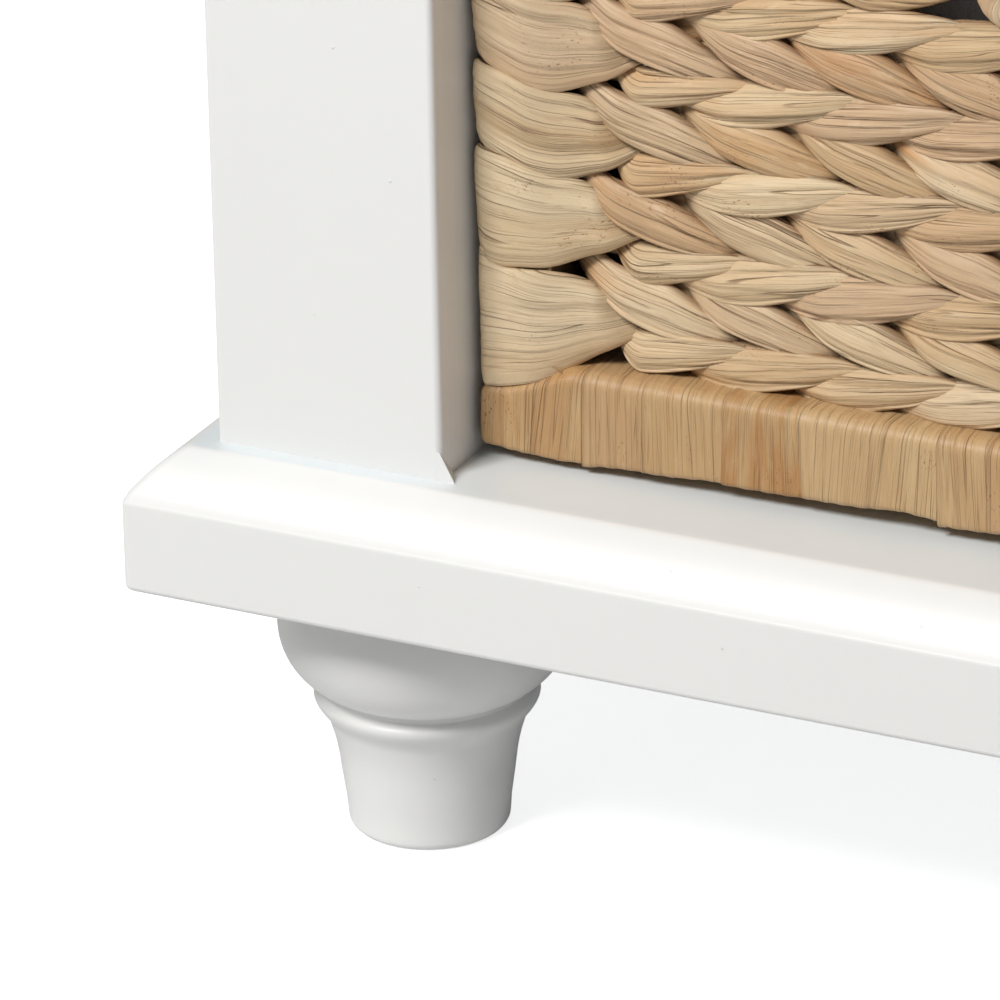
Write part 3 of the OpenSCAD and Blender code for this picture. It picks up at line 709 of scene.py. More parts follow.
def smooth_table(tab, x, width=1.0):
    g = np.linspace(tab[0, 0], tab[-1, 0], 400)
    out = []
    k = np.exp(-0.5 * (np.arange(-30, 31) * (g[1] - g[0]) / width) ** 2)
    k /= k.sum()
    for c in (1, 2):
        v = np.interp(g, tab[:, 0], tab[:, c])
        pad = np.pad(v, 30, mode="reflect", reflect_type="odd")
        out.append(np.interp(x, g, np.convolve(pad, k, "valid")))
    return out


def leaf_rows(wl, u0, v0, kind, rng, ns, nf, nb, inner=False, cut_lo=None, cut_hi=None, lift_lo=None, lift_hi=None, edge=None, tone=None):
    """Leaves of a wall. kind is +1 where a leaf falls to the right and -1 where it rises. Returns arrays for loft and its attributes."""
    n = len(u0)
    K = kind[:, None, None]
    A = K > 0
    pitch = (wl[3] - 2 * STAKE_IN) / (STAKES - 1) / 25.2

    def r(a, b):
        return rng.uniform(a, b, (n, 1, 1))

    def pick(a, b):
        return np.where(A, a, b)

    x = np.linspace(-1, 1, ns)
    x = 0.62 * x + 0.38 * np.sin(x * math.pi / 2)
    ua = 3.0 + 22.0 * x                                  # places along a falling leaf
    ub = np.where(x < 0, 22.0 * x, 31.0 * x)             # and along a rising one
    ca, ha = smooth_table(FALL, ua)
    cb, hb = smooth_table(RISE, ub)
    A2 = A[:, :, 0]
    U = np.where(A2, ua[None, :], ub[None, :])[..., None]
    C = np.where(A2, ca[None, :], cb[None, :])[..., None]
    Hh = np.where(A2, ha[None, :], hb[None, :])[..., None]
    t = x[None, :, None]
    ph = section_angles(nf, nb)
    c, s = np.cos(ph), np.sin(ph)
    p = 2.35
    q = (np.sign(c) * np.abs(c) ** (2 / p))[None, None, :]
    d = (np.sign(s) * np.abs(s) ** (2 / p))[None, None, :]
    if inner:
        C = -C
    hw = Hh * r(0.94, 1.07)
    if edge is not None:                                 # the first leaves of a row, next to the corner's strap
        E = edge[:, None, None]
        hw = np.where(E & A, hw + 1.1 * smooth01((-t - 0.45) / 0.35) * smooth01((1.0 + t) / 0.08), np.where(E, hw * 0.86, hw))
    hw = np.maximum(hw, 0.08)
    up = 1 + r(0.0, 0.06) * np.sin(r(1.5, 3.0) * t + r(0, 6.28)) + r(0, 0.03) * np.sin(r(4, 7) * t + r(0, 6.28))
    lo = 1 + r(0.0, 0.06) * np.sin(r(1.5, 3.0) * t + r(0, 6.28)) + r(0, 0.03) * np.sin(r(4, 7) * t + r(0, 6.28))
    side = np.where(q > 0, up, lo)
    vc = C * r(0.88, 1.10)
    hd = np.maximum(2.6 * r(0.9, 1.08) * (1 - np.abs(t) ** 3.2) ** 0.5, 0.22)
    belly = 2.35 + r(-0.3, 0.3)
    wc = np.where(A, belly - r(4.3, 5.1) * np.abs(t) ** 2.2, np.where(t < 0, belly - r(5.0, 5.8) * np.abs(t) ** 1.9, belly - r(0.3, 0.9) * np.abs(t) ** 2.4))
    # a rising leaf's far end lies thin and flat on the next leaf
    hd = hd * np.where(A, 1.0, 1 - 0.70 * smooth01((t - 0.35) / 0.55))
    if edge is not None:
        wc = wc + 1.6 * (edge[:, None, None] & A) * smooth01(-t * 2)
    if inner:
        wc, hd = -(belly - 4.6 * np.abs(t) ** 2.2), hd * 0.85
    # a rising leaf's upper side lies pressed under the tip of the one before it
    press = pick(0.35, 1.0) * 2.1 * smooth01((0.62 - t) / 0.9) * smooth01((t + 1.0) / 0.25)
    depth = np.where(d > 0, d, 0.6 * d) * hd
    w = wc + depth
    if not inner:
        w = w - press * smooth01((q + 0.15) / 1.1) * np.where(d > 0, 1.0, 0.6)
        face = smooth01(d / 0.50) * smooth01(2.6 * (1 - np.abs(t)))
        qf = q * (hw / 5.6) ** 0.55
        h = folds(qf, t, rng, n, 8, (0.10, 0.75))
        rim = rng.uniform(0, 1, (n, 1, 1)) < 0.6
        h = h + rim * (0.30 * np.exp(-((q + 0.86) / 0.09) ** 2) - r(0.25, 0.6) * np.exp(-((q + 0.70 + 0.1 * t) / 0.05) ** 2)) * smooth01(1.5 - np.abs(t) * 1.4)
        w = w + face * h
    along = U * pitch * r(0.97, 1.03)
    full = along
    if cut_lo is not None:           # leaves that stop at a corner's strap or at the hand hole's binding
        along = np.where(along < 0, along * cut_lo[:, None, None], along * cut_hi[:, None, None])
        full = along
        vc = vc + lift_lo[:, None, None] * np.clip(-t, 0, 1) ** 1.25 + lift_hi[:, None, None] * np.clip(t, 0, 1) ** 1.1
    u = u0[:, None, None] + along
    v = v0[:, None, None] + vc + q * side * hw
    P = on_wall(wl, *np.broadcast_arrays(u, v, w))
    shape = P.shape[:3]
    seed = rng.uniform(0, 400, (n, 1, 1))
    fib = np.stack(np.broadcast_arrays(full + seed * 3.7, (q * (0.42 * 5.3 + 0.58 * hw) * (1 + 0.12 * r(-1, 1) * t)) + 0.35 * np.sin(2.2 * t + seed), seed * np.ones(shape)), -1)
    if tone is None:
        tone = leaf_tones(n, rng)
    tn = tone[:, None, None, :] * np.ones(shape + (1,))
    warm_end = smooth01((-t - 0.15) / 0.8) * (rng.uniform(0, 1, (n, 1, 1)) < 0.40) * r(0.3, 0.9)
    tn[..., 1] = np.clip(tn[..., 1] + warm_end, 0, 1)
    # browner ends where a leaf goes under the next, partly the leaf's own tone and partly painted shade, and painted
    # shade along each leaf's edges
    tuck_tone_and_shade = np.where(A, smooth01((np.abs(t) - 0.66) / 0.30) * 0.85, np.where(t < 0, smooth01((-t - 0.55) / 0.40) * 0.95, smooth01((t - 0.72) / 0.28) * 0.45))
    tuck_tone_and_shade = tuck_tone_and_shade * np.ones(shape) + 0.68 * smooth01((np.abs(q) - 0.80) / 0.20) * np.ones(shape)
    # the leaves behind the stakes get painted shade all over
    if inner:
        tuck_tone_and_shade = np.maximum(tuck_tone_and_shade, 0.25)
    return P, fib, tn, np.clip(tuck_tone_and_shade, 0, 1)


def leaf_tones(n, rng):
    """Cream, tan, orange and pink-grey leaves in the mix a natural bundle has."""
    pale = np.clip(rng.normal(0.42, 0.27, n), 0, 1)
    warm = np.where(rng.uniform(0, 1, n) < 0.22, rng.uniform(0.35, 0.90, n), rng.uniform(0.0, 0.28, n))
    pink = np.where(rng.uniform(0, 1, n) < 0.26, rng.uniform(0.35, 0.85, n), rng.uniform(0.0, 0.25, n))
    return np.stack([pale, warm, pink, np.ones(n)], 1)


def tubes_obj(name, P, fib, tone, tuck_tone_and_shade, mat, flip=False):
    n, ns, nr, _ = P.shape
    V, q, t = loft(P)
    if flip:
        q, t = q[:, ::-1], t[:, ::-1]
    return mesh_obj(name, V, q, t, attrs={"fib": with_ends(fib, n, ns, nr), "tint": with_ends(tone, n, ns, nr), "tuck_tone_and_shade": with_ends(tuck_tone_and_shade, n, ns, nr)[:, 0]}, mats=(mat,))


def weave_wall(b, side, seed, ns, nf, nb, groups):
    """All the leaves of one wall, in a few pieces of some rows each."""
    wl = wall(b, side)
    W = wl[3]
    rng = np.random.default_rng(seed)
    stakes = STAKE_IN + (W - 2 * STAKE_IN) / (STAKES - 1) * np.arange(STAKES)
    out = []
    for g in range(groups):
        rows = range(g * ROWS // groups, (g + 1) * ROWS // groups)
        u0, v0, kd, cl, ch, ll, lh, ed = [], [], [], [], [], [], [], []
        for k in rows:
            for i, s in enumerate(stakes):
                off = s - W / 2
                z = ROW0 + ROW_STEP * k
                falls = k % 2 == 1
                lo_c = hi_c = 1.0
                lift = rise = 0.0
                if i == 0:
                    lo_c, lift = (1.02, 3.2) if falls else (0.44, 5.2)
                if i == STAKES - 1:
                    hi_c = 0.70 if falls else 0.42
                if side == "front" and abs(z - HOLE_C) < HOLE_H / 2 + 1.5:
                    room = abs(off) - (HOLE_W / 2 - 0.5)
                    if room < 4 or (k == 9 and off < 0 and room < 12):
                        continue
                    if k == 9 and off < 0 and room < 34:               # the row under the binding bends up to meet it
                        rise = 6.3
                    if off < 0:
                        hi_c = min(1.0, room / (25.0 if falls else 31.0))
                    else:
                        lo_c = min(1.0, room / (17.0 if falls else 19.0))
                u0.append(s + rng.uniform(-1.0, 1.0) * (0.3 if i in (0, STAKES - 1) else 1))
                v0.append(z + rng.uniform(-0.35, 0.35))
                kd.append(1 if k % 2 else -1)
                cl.append(lo_c)
                ch.append(hi_c)
                ll.append(lift)
                lh.append(rise)
                ed.append(i == 0)
        u0, v0, kd, cl, ch, ll, lh, ed = map(np.array, (u0, v0, kd, cl, ch, ll, lh, ed))
        P, fib, tone, tuck_tone_and_shade = leaf_rows(wl, u0, v0, kd, rng, ns, nf, nb, cut_lo=cl, cut_hi=ch, lift_lo=ll, lift_hi=lh, edge=ed)
        o = tubes_obj(f"basket_{b}_{side}_leaves_{g + 1}", P, fib, tone, tuck_tone_and_shade, M_LEAF)
        out.append(o)
    # the same leaves where they pass behind the stakes
    u0, v0, kd = [], [], []
    for k in range(ROWS):
        for i, s in enumerate(stakes):
            z = ROW0 + ROW_STEP * k
            if side == "front" and abs(z - HOLE_C) < HOLE_H / 2 + 1.5 and abs(s - W / 2) < HOLE_W / 2 + 21:
                continue
            if side == "front" and k == 8 and -HOLE_W / 2 - 20 < s - W / 2 < 0:        # a gap shows the lining by the hole's lower corner
                continue
            u0.append(s)
            v0.append(z)
            kd.append(1 if k % 2 else -1)
    P, fib, tone, tuck_tone_and_shade = leaf_rows(wl, np.array(u0), np.array(v0), np.array(kd), rng, 12, 7, 5, inner=True)
    out.append(tubes_obj(f"basket_{b}_{side}_leaves_behind", P, fib, tone, tuck_tone_and_shade, M_LEAF))
    return out


# ---------------------------------------------------------------- straps round the corners
STRAP_TOP = ((0, 0), (4, -1.0), (7.4, -2.1), (12.1, -4.1), (17, -5.8), (21.4, -6.2), (24.9, -7.3), (27.2, -8.8), (29.5, -10.8), (32.2, -14.2), (35, -17.0), (38, -18.6), (43, -20.3))
STRAP_FAN = ((0, 0), (4, -1.0), (7.4, -2.1), (12.1, -4.1), (17, -5.6), (21.4, -6.2), (25, -7.2), (29.5, -8.9), (33, -10.6), (38, -13.6), (43, -17.0))   # where a strap's upper fibres run, past the leaf that crosses it
STRAP_BOT = ((0, -19.8), (5.6, -23.7), (12.6, -26.7), (19.2, -27.4), (23.2, -26.5), (30.7, -23.9), (33.5, -22.2), (37.5, -19.6), (43, -21.0))
S1_BOT = ((0, -26.6), (2.5, -28.3), (6.3, -29.0), (11.3, -28.4), (16.1, -27.9), (18.9, -27.2), (24.4, -25.0), (28.9, -23.6), (31.5, -22.3), (35, -20.6), (38, -19.6), (43, -21.0))
S0_TOP = ((0, 0), (0.8, -2.5), (2.5, -5.0), (6.3, -6.5), (11.3, -6.0), (15.8, -5.8), (19.4, -6.5), (23.1, -7.6), (26.2, -9.2), (28.5, -11.9), (32.9, -16.0), (38.1, -19.7), (43, -21.3))
S0_BOT = ((0, -36.0), (6.8, -35.2), (14, -33.2), (18.5, -31.4), (22.8, -28.7), (27.6, -25.7), (32.9, -23.0), (38.1, -20.5), (43, -22.3))
STRAP_Z = (53.4, 75.8, 96.0, 117.0, 137.9, 158.7, 179.6)
STRAP_END = 43.0
CORNER_R = 2.4                            # plan radius of the straps' and frames' outer corners


def curve_at(points, e, smooth=1.1):
    px, pz = np.array(points, float).T
    x = np.linspace(0, 46, 461)
    z = np.interp(x, px, pz)
    k = np.exp(-0.5 * (np.arange(-50, 51) * 0.1 / smooth) ** 2)
    k /= k.sum()
    pad = np.pad(z, 50, mode="reflect", reflect_type="odd")
    return np.interp(e, x, np.convolve(pad, k, "valid"))


def corner_frame(b, k):
    """The outside corner where wall P ends and wall Q begins, seen from above: the point and the two walls' directions."""
    names = ("front", "right", "back", "left")
    P, Q = wall(b, names[k - 1]), wall(b, names[k])
    C = Q[0] - Q[2] * 0 + Q[2] * WALL_IN
    return C, P[1], Q[1], P[2], Q[2]


def corner_point(cf, s, a, R=CORNER_R):
    """A point s millimetres round the corner's face (s < 0 before it) and a millimetres in from the face."""
    C, U1, U2, N1, N2 = cf
    h = math.pi * R / 4
    e = np.abs(s) - h + R
    th = np.clip(s / R, -math.pi / 4, math.pi / 4) + math.pi / 4       # 0 along wall P, pi/2 along wall Q
    centre = C - N1 * R - N2 * R
    r = np.maximum(R - a, 0.05)
    arc_dir = np.cos(th)[..., None] * N1 + np.sin(th)[..., None] * N2
    over = np.maximum(a - R, 0)[..., None]
    arc_p = centre + arc_dir * r[..., None] - over * (N1 + N2)
    on_q = C + U2 * e[..., None] - N2 * a[..., None]
    on_p = C - U1 * e[..., None] - N1 * a[..., None]
    out = np.where((s > h)[..., None], on_q, np.where((s < -h)[..., None], on_p, arc_p))
    return out


def straps(b, k, seed, ns, nf, nb):
    rng = np.random.default_rng(seed)
    cf = corner_frame(b, k)
    n = len(STRAP_Z)

    def r(a, c):
        return rng.uniform(a, c, (n, 1, 1))

    x = np.linspace(-1, 1, ns)
    off = CORNER_R * (1 - math.pi / 4)
    s = (STRAP_END - off) * (0.75 * x + 0.25 * np.sin(x * math.pi / 2))[None, :, None]
    e = np.abs(s) + off * smooth01(np.abs(s) / 2.5)
    ph = section_angles(nf, nb)
    c, sn = np.cos(ph), np.sin(ph)
    p = 2.6
    q = (np.sign(c) * np.abs(c) ** (2 / p))[None, None, :]
    d = (np.sign(sn) * np.abs(sn) ** (2 / p))[None, None, :]
    z0 = np.array(STRAP_Z)[:, None, None]
    top = np.repeat(curve_at(STRAP_TOP, e), n, 0)
    bot = np.repeat(curve_at(STRAP_BOT, e), n, 0)
    top[0], bot[0], bot[1] = curve_at(S0_TOP, e)[0], curve_at(S0_BOT, e)[0], curve_at(S1_BOT, e)[0]
    top = top + r(-0.3, 0.3) * np.sin(e / 9 + r(0, 6)) + r(0.1, 0.35) * np.sin(e / 5.5 + r(0, 6.28)) * smooth01((e - 4) / 8)
    bot = bot + r(-0.3, 0.3) * np.sin(e / 9 + r(0, 6)) * smooth01((e - 4) / 8)
    reach = RIM_Z0 + 1.2 - STRAP_Z[-1]                 # the last strap goes up under the rim
    top[-1] = np.minimum(top[-1] + (reach - top[-1] * 0.75) * (1 - smooth01((e[0] - 28) / 12)), reach)
    mid, hh = (top + bot) / 2, np.maximum((top - bot) / 2, 0.25)
    v = z0 + mid + q * hh
    fan = np.maximum(np.repeat(curve_at(STRAP_FAN, e), n, 0), top)
    qf = ((mid + q * hh) - (fan + bot) / 2) / np.maximum((fan - bot) / 2, 0.5)
    sink = 4.3 * smooth01((e - 11) / 17) + 7.0 * smooth01((e - 26.5 - 2.5 * (q < 0) * -q) / 13)
    sink = sink + 2.6 * smooth01((e - 26.5) / 5) * smooth01((q + 0.1) / 0.9)         # the upper edge goes down under the leaf that crosses it
    b_h = 1.35 + 1.4 * smooth01((e - 14) / 14) - 1.9 * smooth01((e - 33) / 9)
    b_h = b_h * smooth01((STRAP_END + 2 - e) / 5)
    lean = (0.55 * q * np.where(np.arange(n)[:, None, None] == 0, np.where(q < 0, -0.6, 1.0), 1.0)) * (1 - smooth01((e - 10) / 9))                    # upper edge proud near the corner, over the strap above
    proud = np.full((n, 1, 1), 0.95)
    proud[0] = proud[-1] = 0.45
    a = 0.15 - proud * (1 - smooth01((e - 3) / 16)) + sink + b_h - np.where(d > 0, d, 0.55 * d) * b_h - lean * np.where(d > 0, 1, 0.4)
    tq = np.clip(s / STRAP_END, -1, 1)
    face = smooth01(d / 0.5)
    h = folds(qf, tq * 0.4, rng, n, 9, (0.05, 0.34), 0.95) + folds(qf, tq, rng, n, 5, (0.05, 0.40), 0.9)
    h = h + r(0.03, 0.10) * np.sin(qf * r(7, 11) + r(0, 6.28) + tq)
    a = a - face * h * 0.95 * smooth01((STRAP_END + 1 - e) / 9) * (0.35 + 0.65 * smooth01((e - 1.5) / 7))
    a = np.maximum(a, -1.45)
    P = corner_point(cf, *np.broadcast_arrays(s * np.ones_like(v), a))
    P = P + (v[..., None]) * np.array([0, 0, 1.0])
    shape = P.shape[:3]
    sd = rng.uniform(0, 400, (n, 1, 1))
    fib = np.stack(np.broadcast_arrays(s + sd * 3.1, qf * 9.5 + 0.3 * np.sin(s / 9 + sd), sd * np.ones(shape)), -1)
    tone = leaf_tones(n, rng)
    tone[:, 1] *= 0.55
    tone[:, 0] = 0.66 + 0.34 * tone[:, 0]
    tn = tone[:, None, None, :] * np.ones(shape + (1,))
    bands = 0.30 * np.sin(qf * r(2.2, 3.6) + r(0, 6.28)) + 0.16 * np.sin(qf * r(6, 9) + r(0, 6.28) + tq)
    tn[..., 0] = np.clip(tn[..., 0] + 0.22 * (1 - smooth01(e / 9)) + bands - 0.28 * smooth01((e - 16) / 16), 0, 1)
    # painted shade where the strap's tip goes under the crossing leaf and along its edges
    tuck_tone_and_shade = smooth01((e - 33) / 10) * 0.75 * np.ones(shape) + 0.22 * smooth01((np.abs(q) - 0.93) / 0.07)
    o = tubes_obj(f"basket_{b}_corner_straps_{k + 1}", P, fib, tn, np.clip(tuck_tone_and_shade, 0, 1), M_LEAF)
    return o


# ---------------------------------------------------------------- wrapped frames
BAND_R = 1.7                              # the base frame's corners are squarer than the straps over them


def ring_path(b, s, a, R=BAND_R):
    """A point s millimetres round the basket's face (anticlockwise from the front left corner) and a in from it."""
    q = math.pi * R / 2
    Ls = (B_W, B_D, B_W, B_D)
    total = 2 * (B_W + B_D) - 8 * R + 4 * q
    s = np.mod(s, total)
    out = np.zeros(np.broadcast_shapes(s.shape, a.shape) + (3,))
    s, a = np.broadcast_arrays(s, a)
    start = -q / 2
    names = ("front", "right", "back", "left")
    s = np.where(s > total - q / 2, s - total, s)
    for k in range(4):
        cf = corner_frame(b, k)
        L = Ls[k] - 2 * R + q
        mid = start + q / 2
        inside = (s >= start) & (s < start + L / 2 + q / 2)
        out[inside] = corner_point(cf, (s - mid)[inside], a[inside], R)
        nxt = corner_frame(b, (k + 1) % 4)
        mid2 = mid + L
        inside = (s >= start + L / 2 + q / 2) & (s < start + L)
        out[inside] = corner_point(nxt, (s - mid2)[inside], a[inside], R)
        start += L
    return out, total


def corner_distance(s, total):
    """How far a point round the basket's face is from the nearest corner."""
    q = math.pi * BAND_R / 2
    e = np.full(np.shape(s), 1e9)
    at = 0.0
    for L in (B_W, B_D, B_W, B_D):
        d = np.abs(np.mod(s - at + total / 2, total) - total / 2)
        e = np.minimum(e, d)
        at += L - 2 * BAND_R + q
    return e


def frame_section(h, n_out, n_rest, r=3.4, t=FRAME_T, foot=1.5):
    """Points round the frame's section from the foot of its outer face up, over and back: depth in, height, and length round."""
    pts = []
    def add(x, z):
        pts.append((x, z))
    for a in np.linspace(0, 90, 9):                                    # lower outer arris
        add(foot - foot * math.sin(math.radians(a)), foot - foot * math.cos(math.radians(a)))
    for z in np.linspace(foot, h - r, n_out)[1:-1]:
        add(0, z)
    for a in np.linspace(0, 90, 13):                                   # upper outer arris
        add(r - r * math.cos(math.radians(a)), h - r + r * math.sin(math.radians(a)))
    for x in np.linspace(r, t - 2, n_rest)[1:]:
        add(x, h)
    add(t - 0.5, h - 0.6)
    add(t, h - 2)
    for z in np.linspace(h - 2, 2, max(3, n_rest // 2))[1:]:
        add(t, z)
    add(t - 0.6, 0.5)
    add(t - 2, 0)
    for x in np.linspace(t - 2, foot, n_rest)[1:-1]:
        add(x, 0)
    p = np.array(pts)
    L = np.concatenate([[0], np.cumsum(np.hypot(*np.diff(p, axis=0).T))])
    nx = np.gradient(p, axis=0)
    nrm = np.stack([-nx[:, 1], nx[:, 0]], 1)
    nrm /= np.linalg.norm(nrm, axis=1)[:, None]
    return p, L, nrm


BAND_STRIPS = (5.1, 12.9, 25.1, 39.9, 59.8, 78.3, 95.2, 111.5, 123.3)   # where the strips end along the front, from the left corner
BAND_SAG = ((-30, 0), (-8, -0.6), (0, -1.0), (6.6, -1.9), (13.8, -2.0), (18.5, -2.7), (24, -2.8), (29, -1.9), (35, -1.6), (47, -1.4), (56, -0.7), (62, -1.0), (74, -1.1), (88, -0.8),
            (103, -0.2), (112, -1.3), (122, -1.4), (135, -0.6), (150, -0.9), (175, -0.3), (200, -0.8), (240, -0.4), (280, -0.7), (330, -0.3), (400, 0))   # how low the wrapping hangs


def wrapped_ring(name, b, z0, h, seed, steps, n_out, n_rest, body, nodes, fixed=(), press=False):
    """The frame's bar with leaf strips wound round it side by side, each lapping the one before."""
    rng = np.random.default_rng(seed)
    _, total = ring_path(b, np.zeros(1), np.zeros(1))
    edges = [0.0] + list(fixed)
    while edges[-1] < total - 9:
        edges.append(edges[-1] + rng.uniform(8.5, 14.5))
    edges = np.array(edges) * total / edges[-1] if not len(fixed) else np.array(edges[:-1] + [total])
    m = len(edges) - 1
    thick = rng.uniform(-0.10, 0.22, m)
    slant = rng.normal(0.8, 1.2, m + 1)
    slant[-1] = slant[0]
    lean = rng.uniform(0.12, 0.55, m)
    S, strip, F = [], [], []
    for j in range(m):
        w = edges[j + 1] - edges[j]
        fine = edges[j] < B_W + 14 or edges[j] > total - 24
        k = max(4, int(round(w / steps[0 if fine else 1])))
        f = np.concatenate([[0.0], np.linspace(0.10 / w, 1 - 0.10 / w, k)])
        S += list(edges[j] + f * w)
        strip += [j] * len(f)
        F += list(f)
    S, strip, F = np.array(S), np.array(strip), np.array(F)
    sec, L, nrm = frame_section(h, n_out, n_rest)
    zc = (sec[:, 1] - h / 2) / h
    sl = np.interp(S, edges, slant)
    s = S[:, None] + sl[:, None] * zc[None, :] * (1 - 0.6 * smooth01((sec[:, 0][None, :] - 6) / 8))
    shing = (lean[strip] * (1 - F) + thick[strip])[:, None] * np.ones_like(s)
    first = F == 0.0                                                    # the foot of each step belongs to the strip before
    prev = (strip - 1) % m
    shing[first] = (thick[prev[first]])[:, None]
    ripple = np.zeros_like(s)
    for a, lam in ((0.016, 1.0), (0.06, 4.6)):
        ph = rng.uniform(0, 6.28, m)
        ripple += a * np.sin(2 * math.pi * (S - edges[strip])[:, None] / lam + ph[strip][:, None] + 0.25 * np.sin(L[None, :] / 5 + strip[:, None]))
    for _ in range(3):                                                  # a few deeper creases along each strip
        fc, dr, dp = rng.uniform(0.1, 0.9, m), rng.uniform(-0.2, 0.2, m), rng.uniform(-0.22, 0.20, m).clip(0)
        x = (F[:, None] - fc[strip][:, None] - dr[strip][:, None] * zc[None, :]) * (edges[strip + 1] - edges[strip])[:, None]
        ripple -= dp[strip][:, None] * np.exp(-np.abs(x / 0.30) ** 1.5)
    disp = shing + ripple
    low, tilt = rng.normal(0, 0.30, m), rng.normal(0, 0.35, m)            # each strip hangs a little lower or higher than the next
    wob = low[strip] + tilt[strip] * (F - 0.5)
    wob[first] = (low + 0.5 * tilt)[prev[first]]
    wob = wob[:, None]
    # outward normal of the section: away from its middle
    mid = np.array([FRAME_T / 2, h / 2])
    sgn = np.sign(((sec - mid) * nrm).sum(1))
    nn = nrm * sgn[:, None]
    a_in = sec[None, :, 0] + nn[None, :, 0] * disp
    zz = sec[None, :, 1] + nn[None, :, 1] * disp + wob * (1 - smooth01(sec[None, :, 1] / 8.0)) * smooth01((FRAME_T - 1 - sec[None, :, 0]) / 4)
    a_in = np.maximum(a_in, -0.45)
    if press:                                                           # where the lowest strap laps over the frame's top
        e = corner_distance(s, total)
        foot = STRAP_Z[0] + curve_at(S0_BOT, np.minimum(e, 45).ravel()).reshape(e.shape) - z0
        a_in = a_in + 2.7 * smooth01((zz - foot + 0.9) / 2.4) * smooth01((26 - e) / 4) * smooth01((9 - sec[None, :, 0]) / 5)
        su = np.where(s > total / 2, s - total, s)
        sag = np.interp(su, *np.array(BAND_SAG).T) if b == BASKETS[0] else -0.7 - 0.5 * np.sin(su / 17.0 + 1.3 * len(b))
        zz = zz + sag * (1 - smooth01(zz / (h * 0.9))) * smooth01((FRAME_T - sec[None, :, 0]) / 9)
    P, _ = ring_path(b, s, a_in)
    P = P + (zz + z0)[..., None] * np.array([0, 0, 1.0])
    n1, n2 = s.shape
    idx = np.arange(n1 * n2).reshape(n1, n2)
    a, c = idx, np.roll(idx, -1, 0)
    bb, dd = np.roll(a, -1, 1), np.roll(c, -1, 1)
    quads = np.stack([a, c, dd, bb], -1).reshape(-1, 4)
    V = P.reshape(-1, 3)
    sd = rng.uniform(0, 300, m)
    turn = rng.uniform(-0.10, 0.10, m)
    fib = np.stack(np.broadcast_arrays(L[None, :] + sd[strip][:, None], turn[strip][:, None] * L[None, :] + (S - edges[strip])[:, None] + sd[strip][:, None] * 2.3, sd[strip][:, None] * np.ones_like(s)), -1).reshape(-1, 3)
    tone = leaf_tones(m, rng)
    tone[:, 2] *= 0.7
    tone[:, 1] = np.clip(tone[:, 1] + rng.uniform(-0.15, 0.45, m), 0, 1)
    tone[:, 0] = np.clip(0.42 + 1.5 * (tone[:, 0] - 0.42), 0, 1)
    tn = tone[strip][:, None, :] * np.ones((n1, n2, 1))
    # painted shade in the crevice at the foot of each strip's lapped edge
    lap_shade = 0.95 * (F == 0.0) + 0.30 * smooth01((0.10 - F) / 0.10) * (F > 0)
    tuck_tone_and_shade = np.broadcast_to(lap_shade[:, None], s.shape).reshape(-1)
    o = mesh_obj(name, V, quads, attrs={"fib": fib, "tint": tn.reshape(-1, 4), "tuck_tone_and_shade": tuck_tone_and_shade}, mats=(M_WRAP,))
    return finish_piece(o, body, nodes)


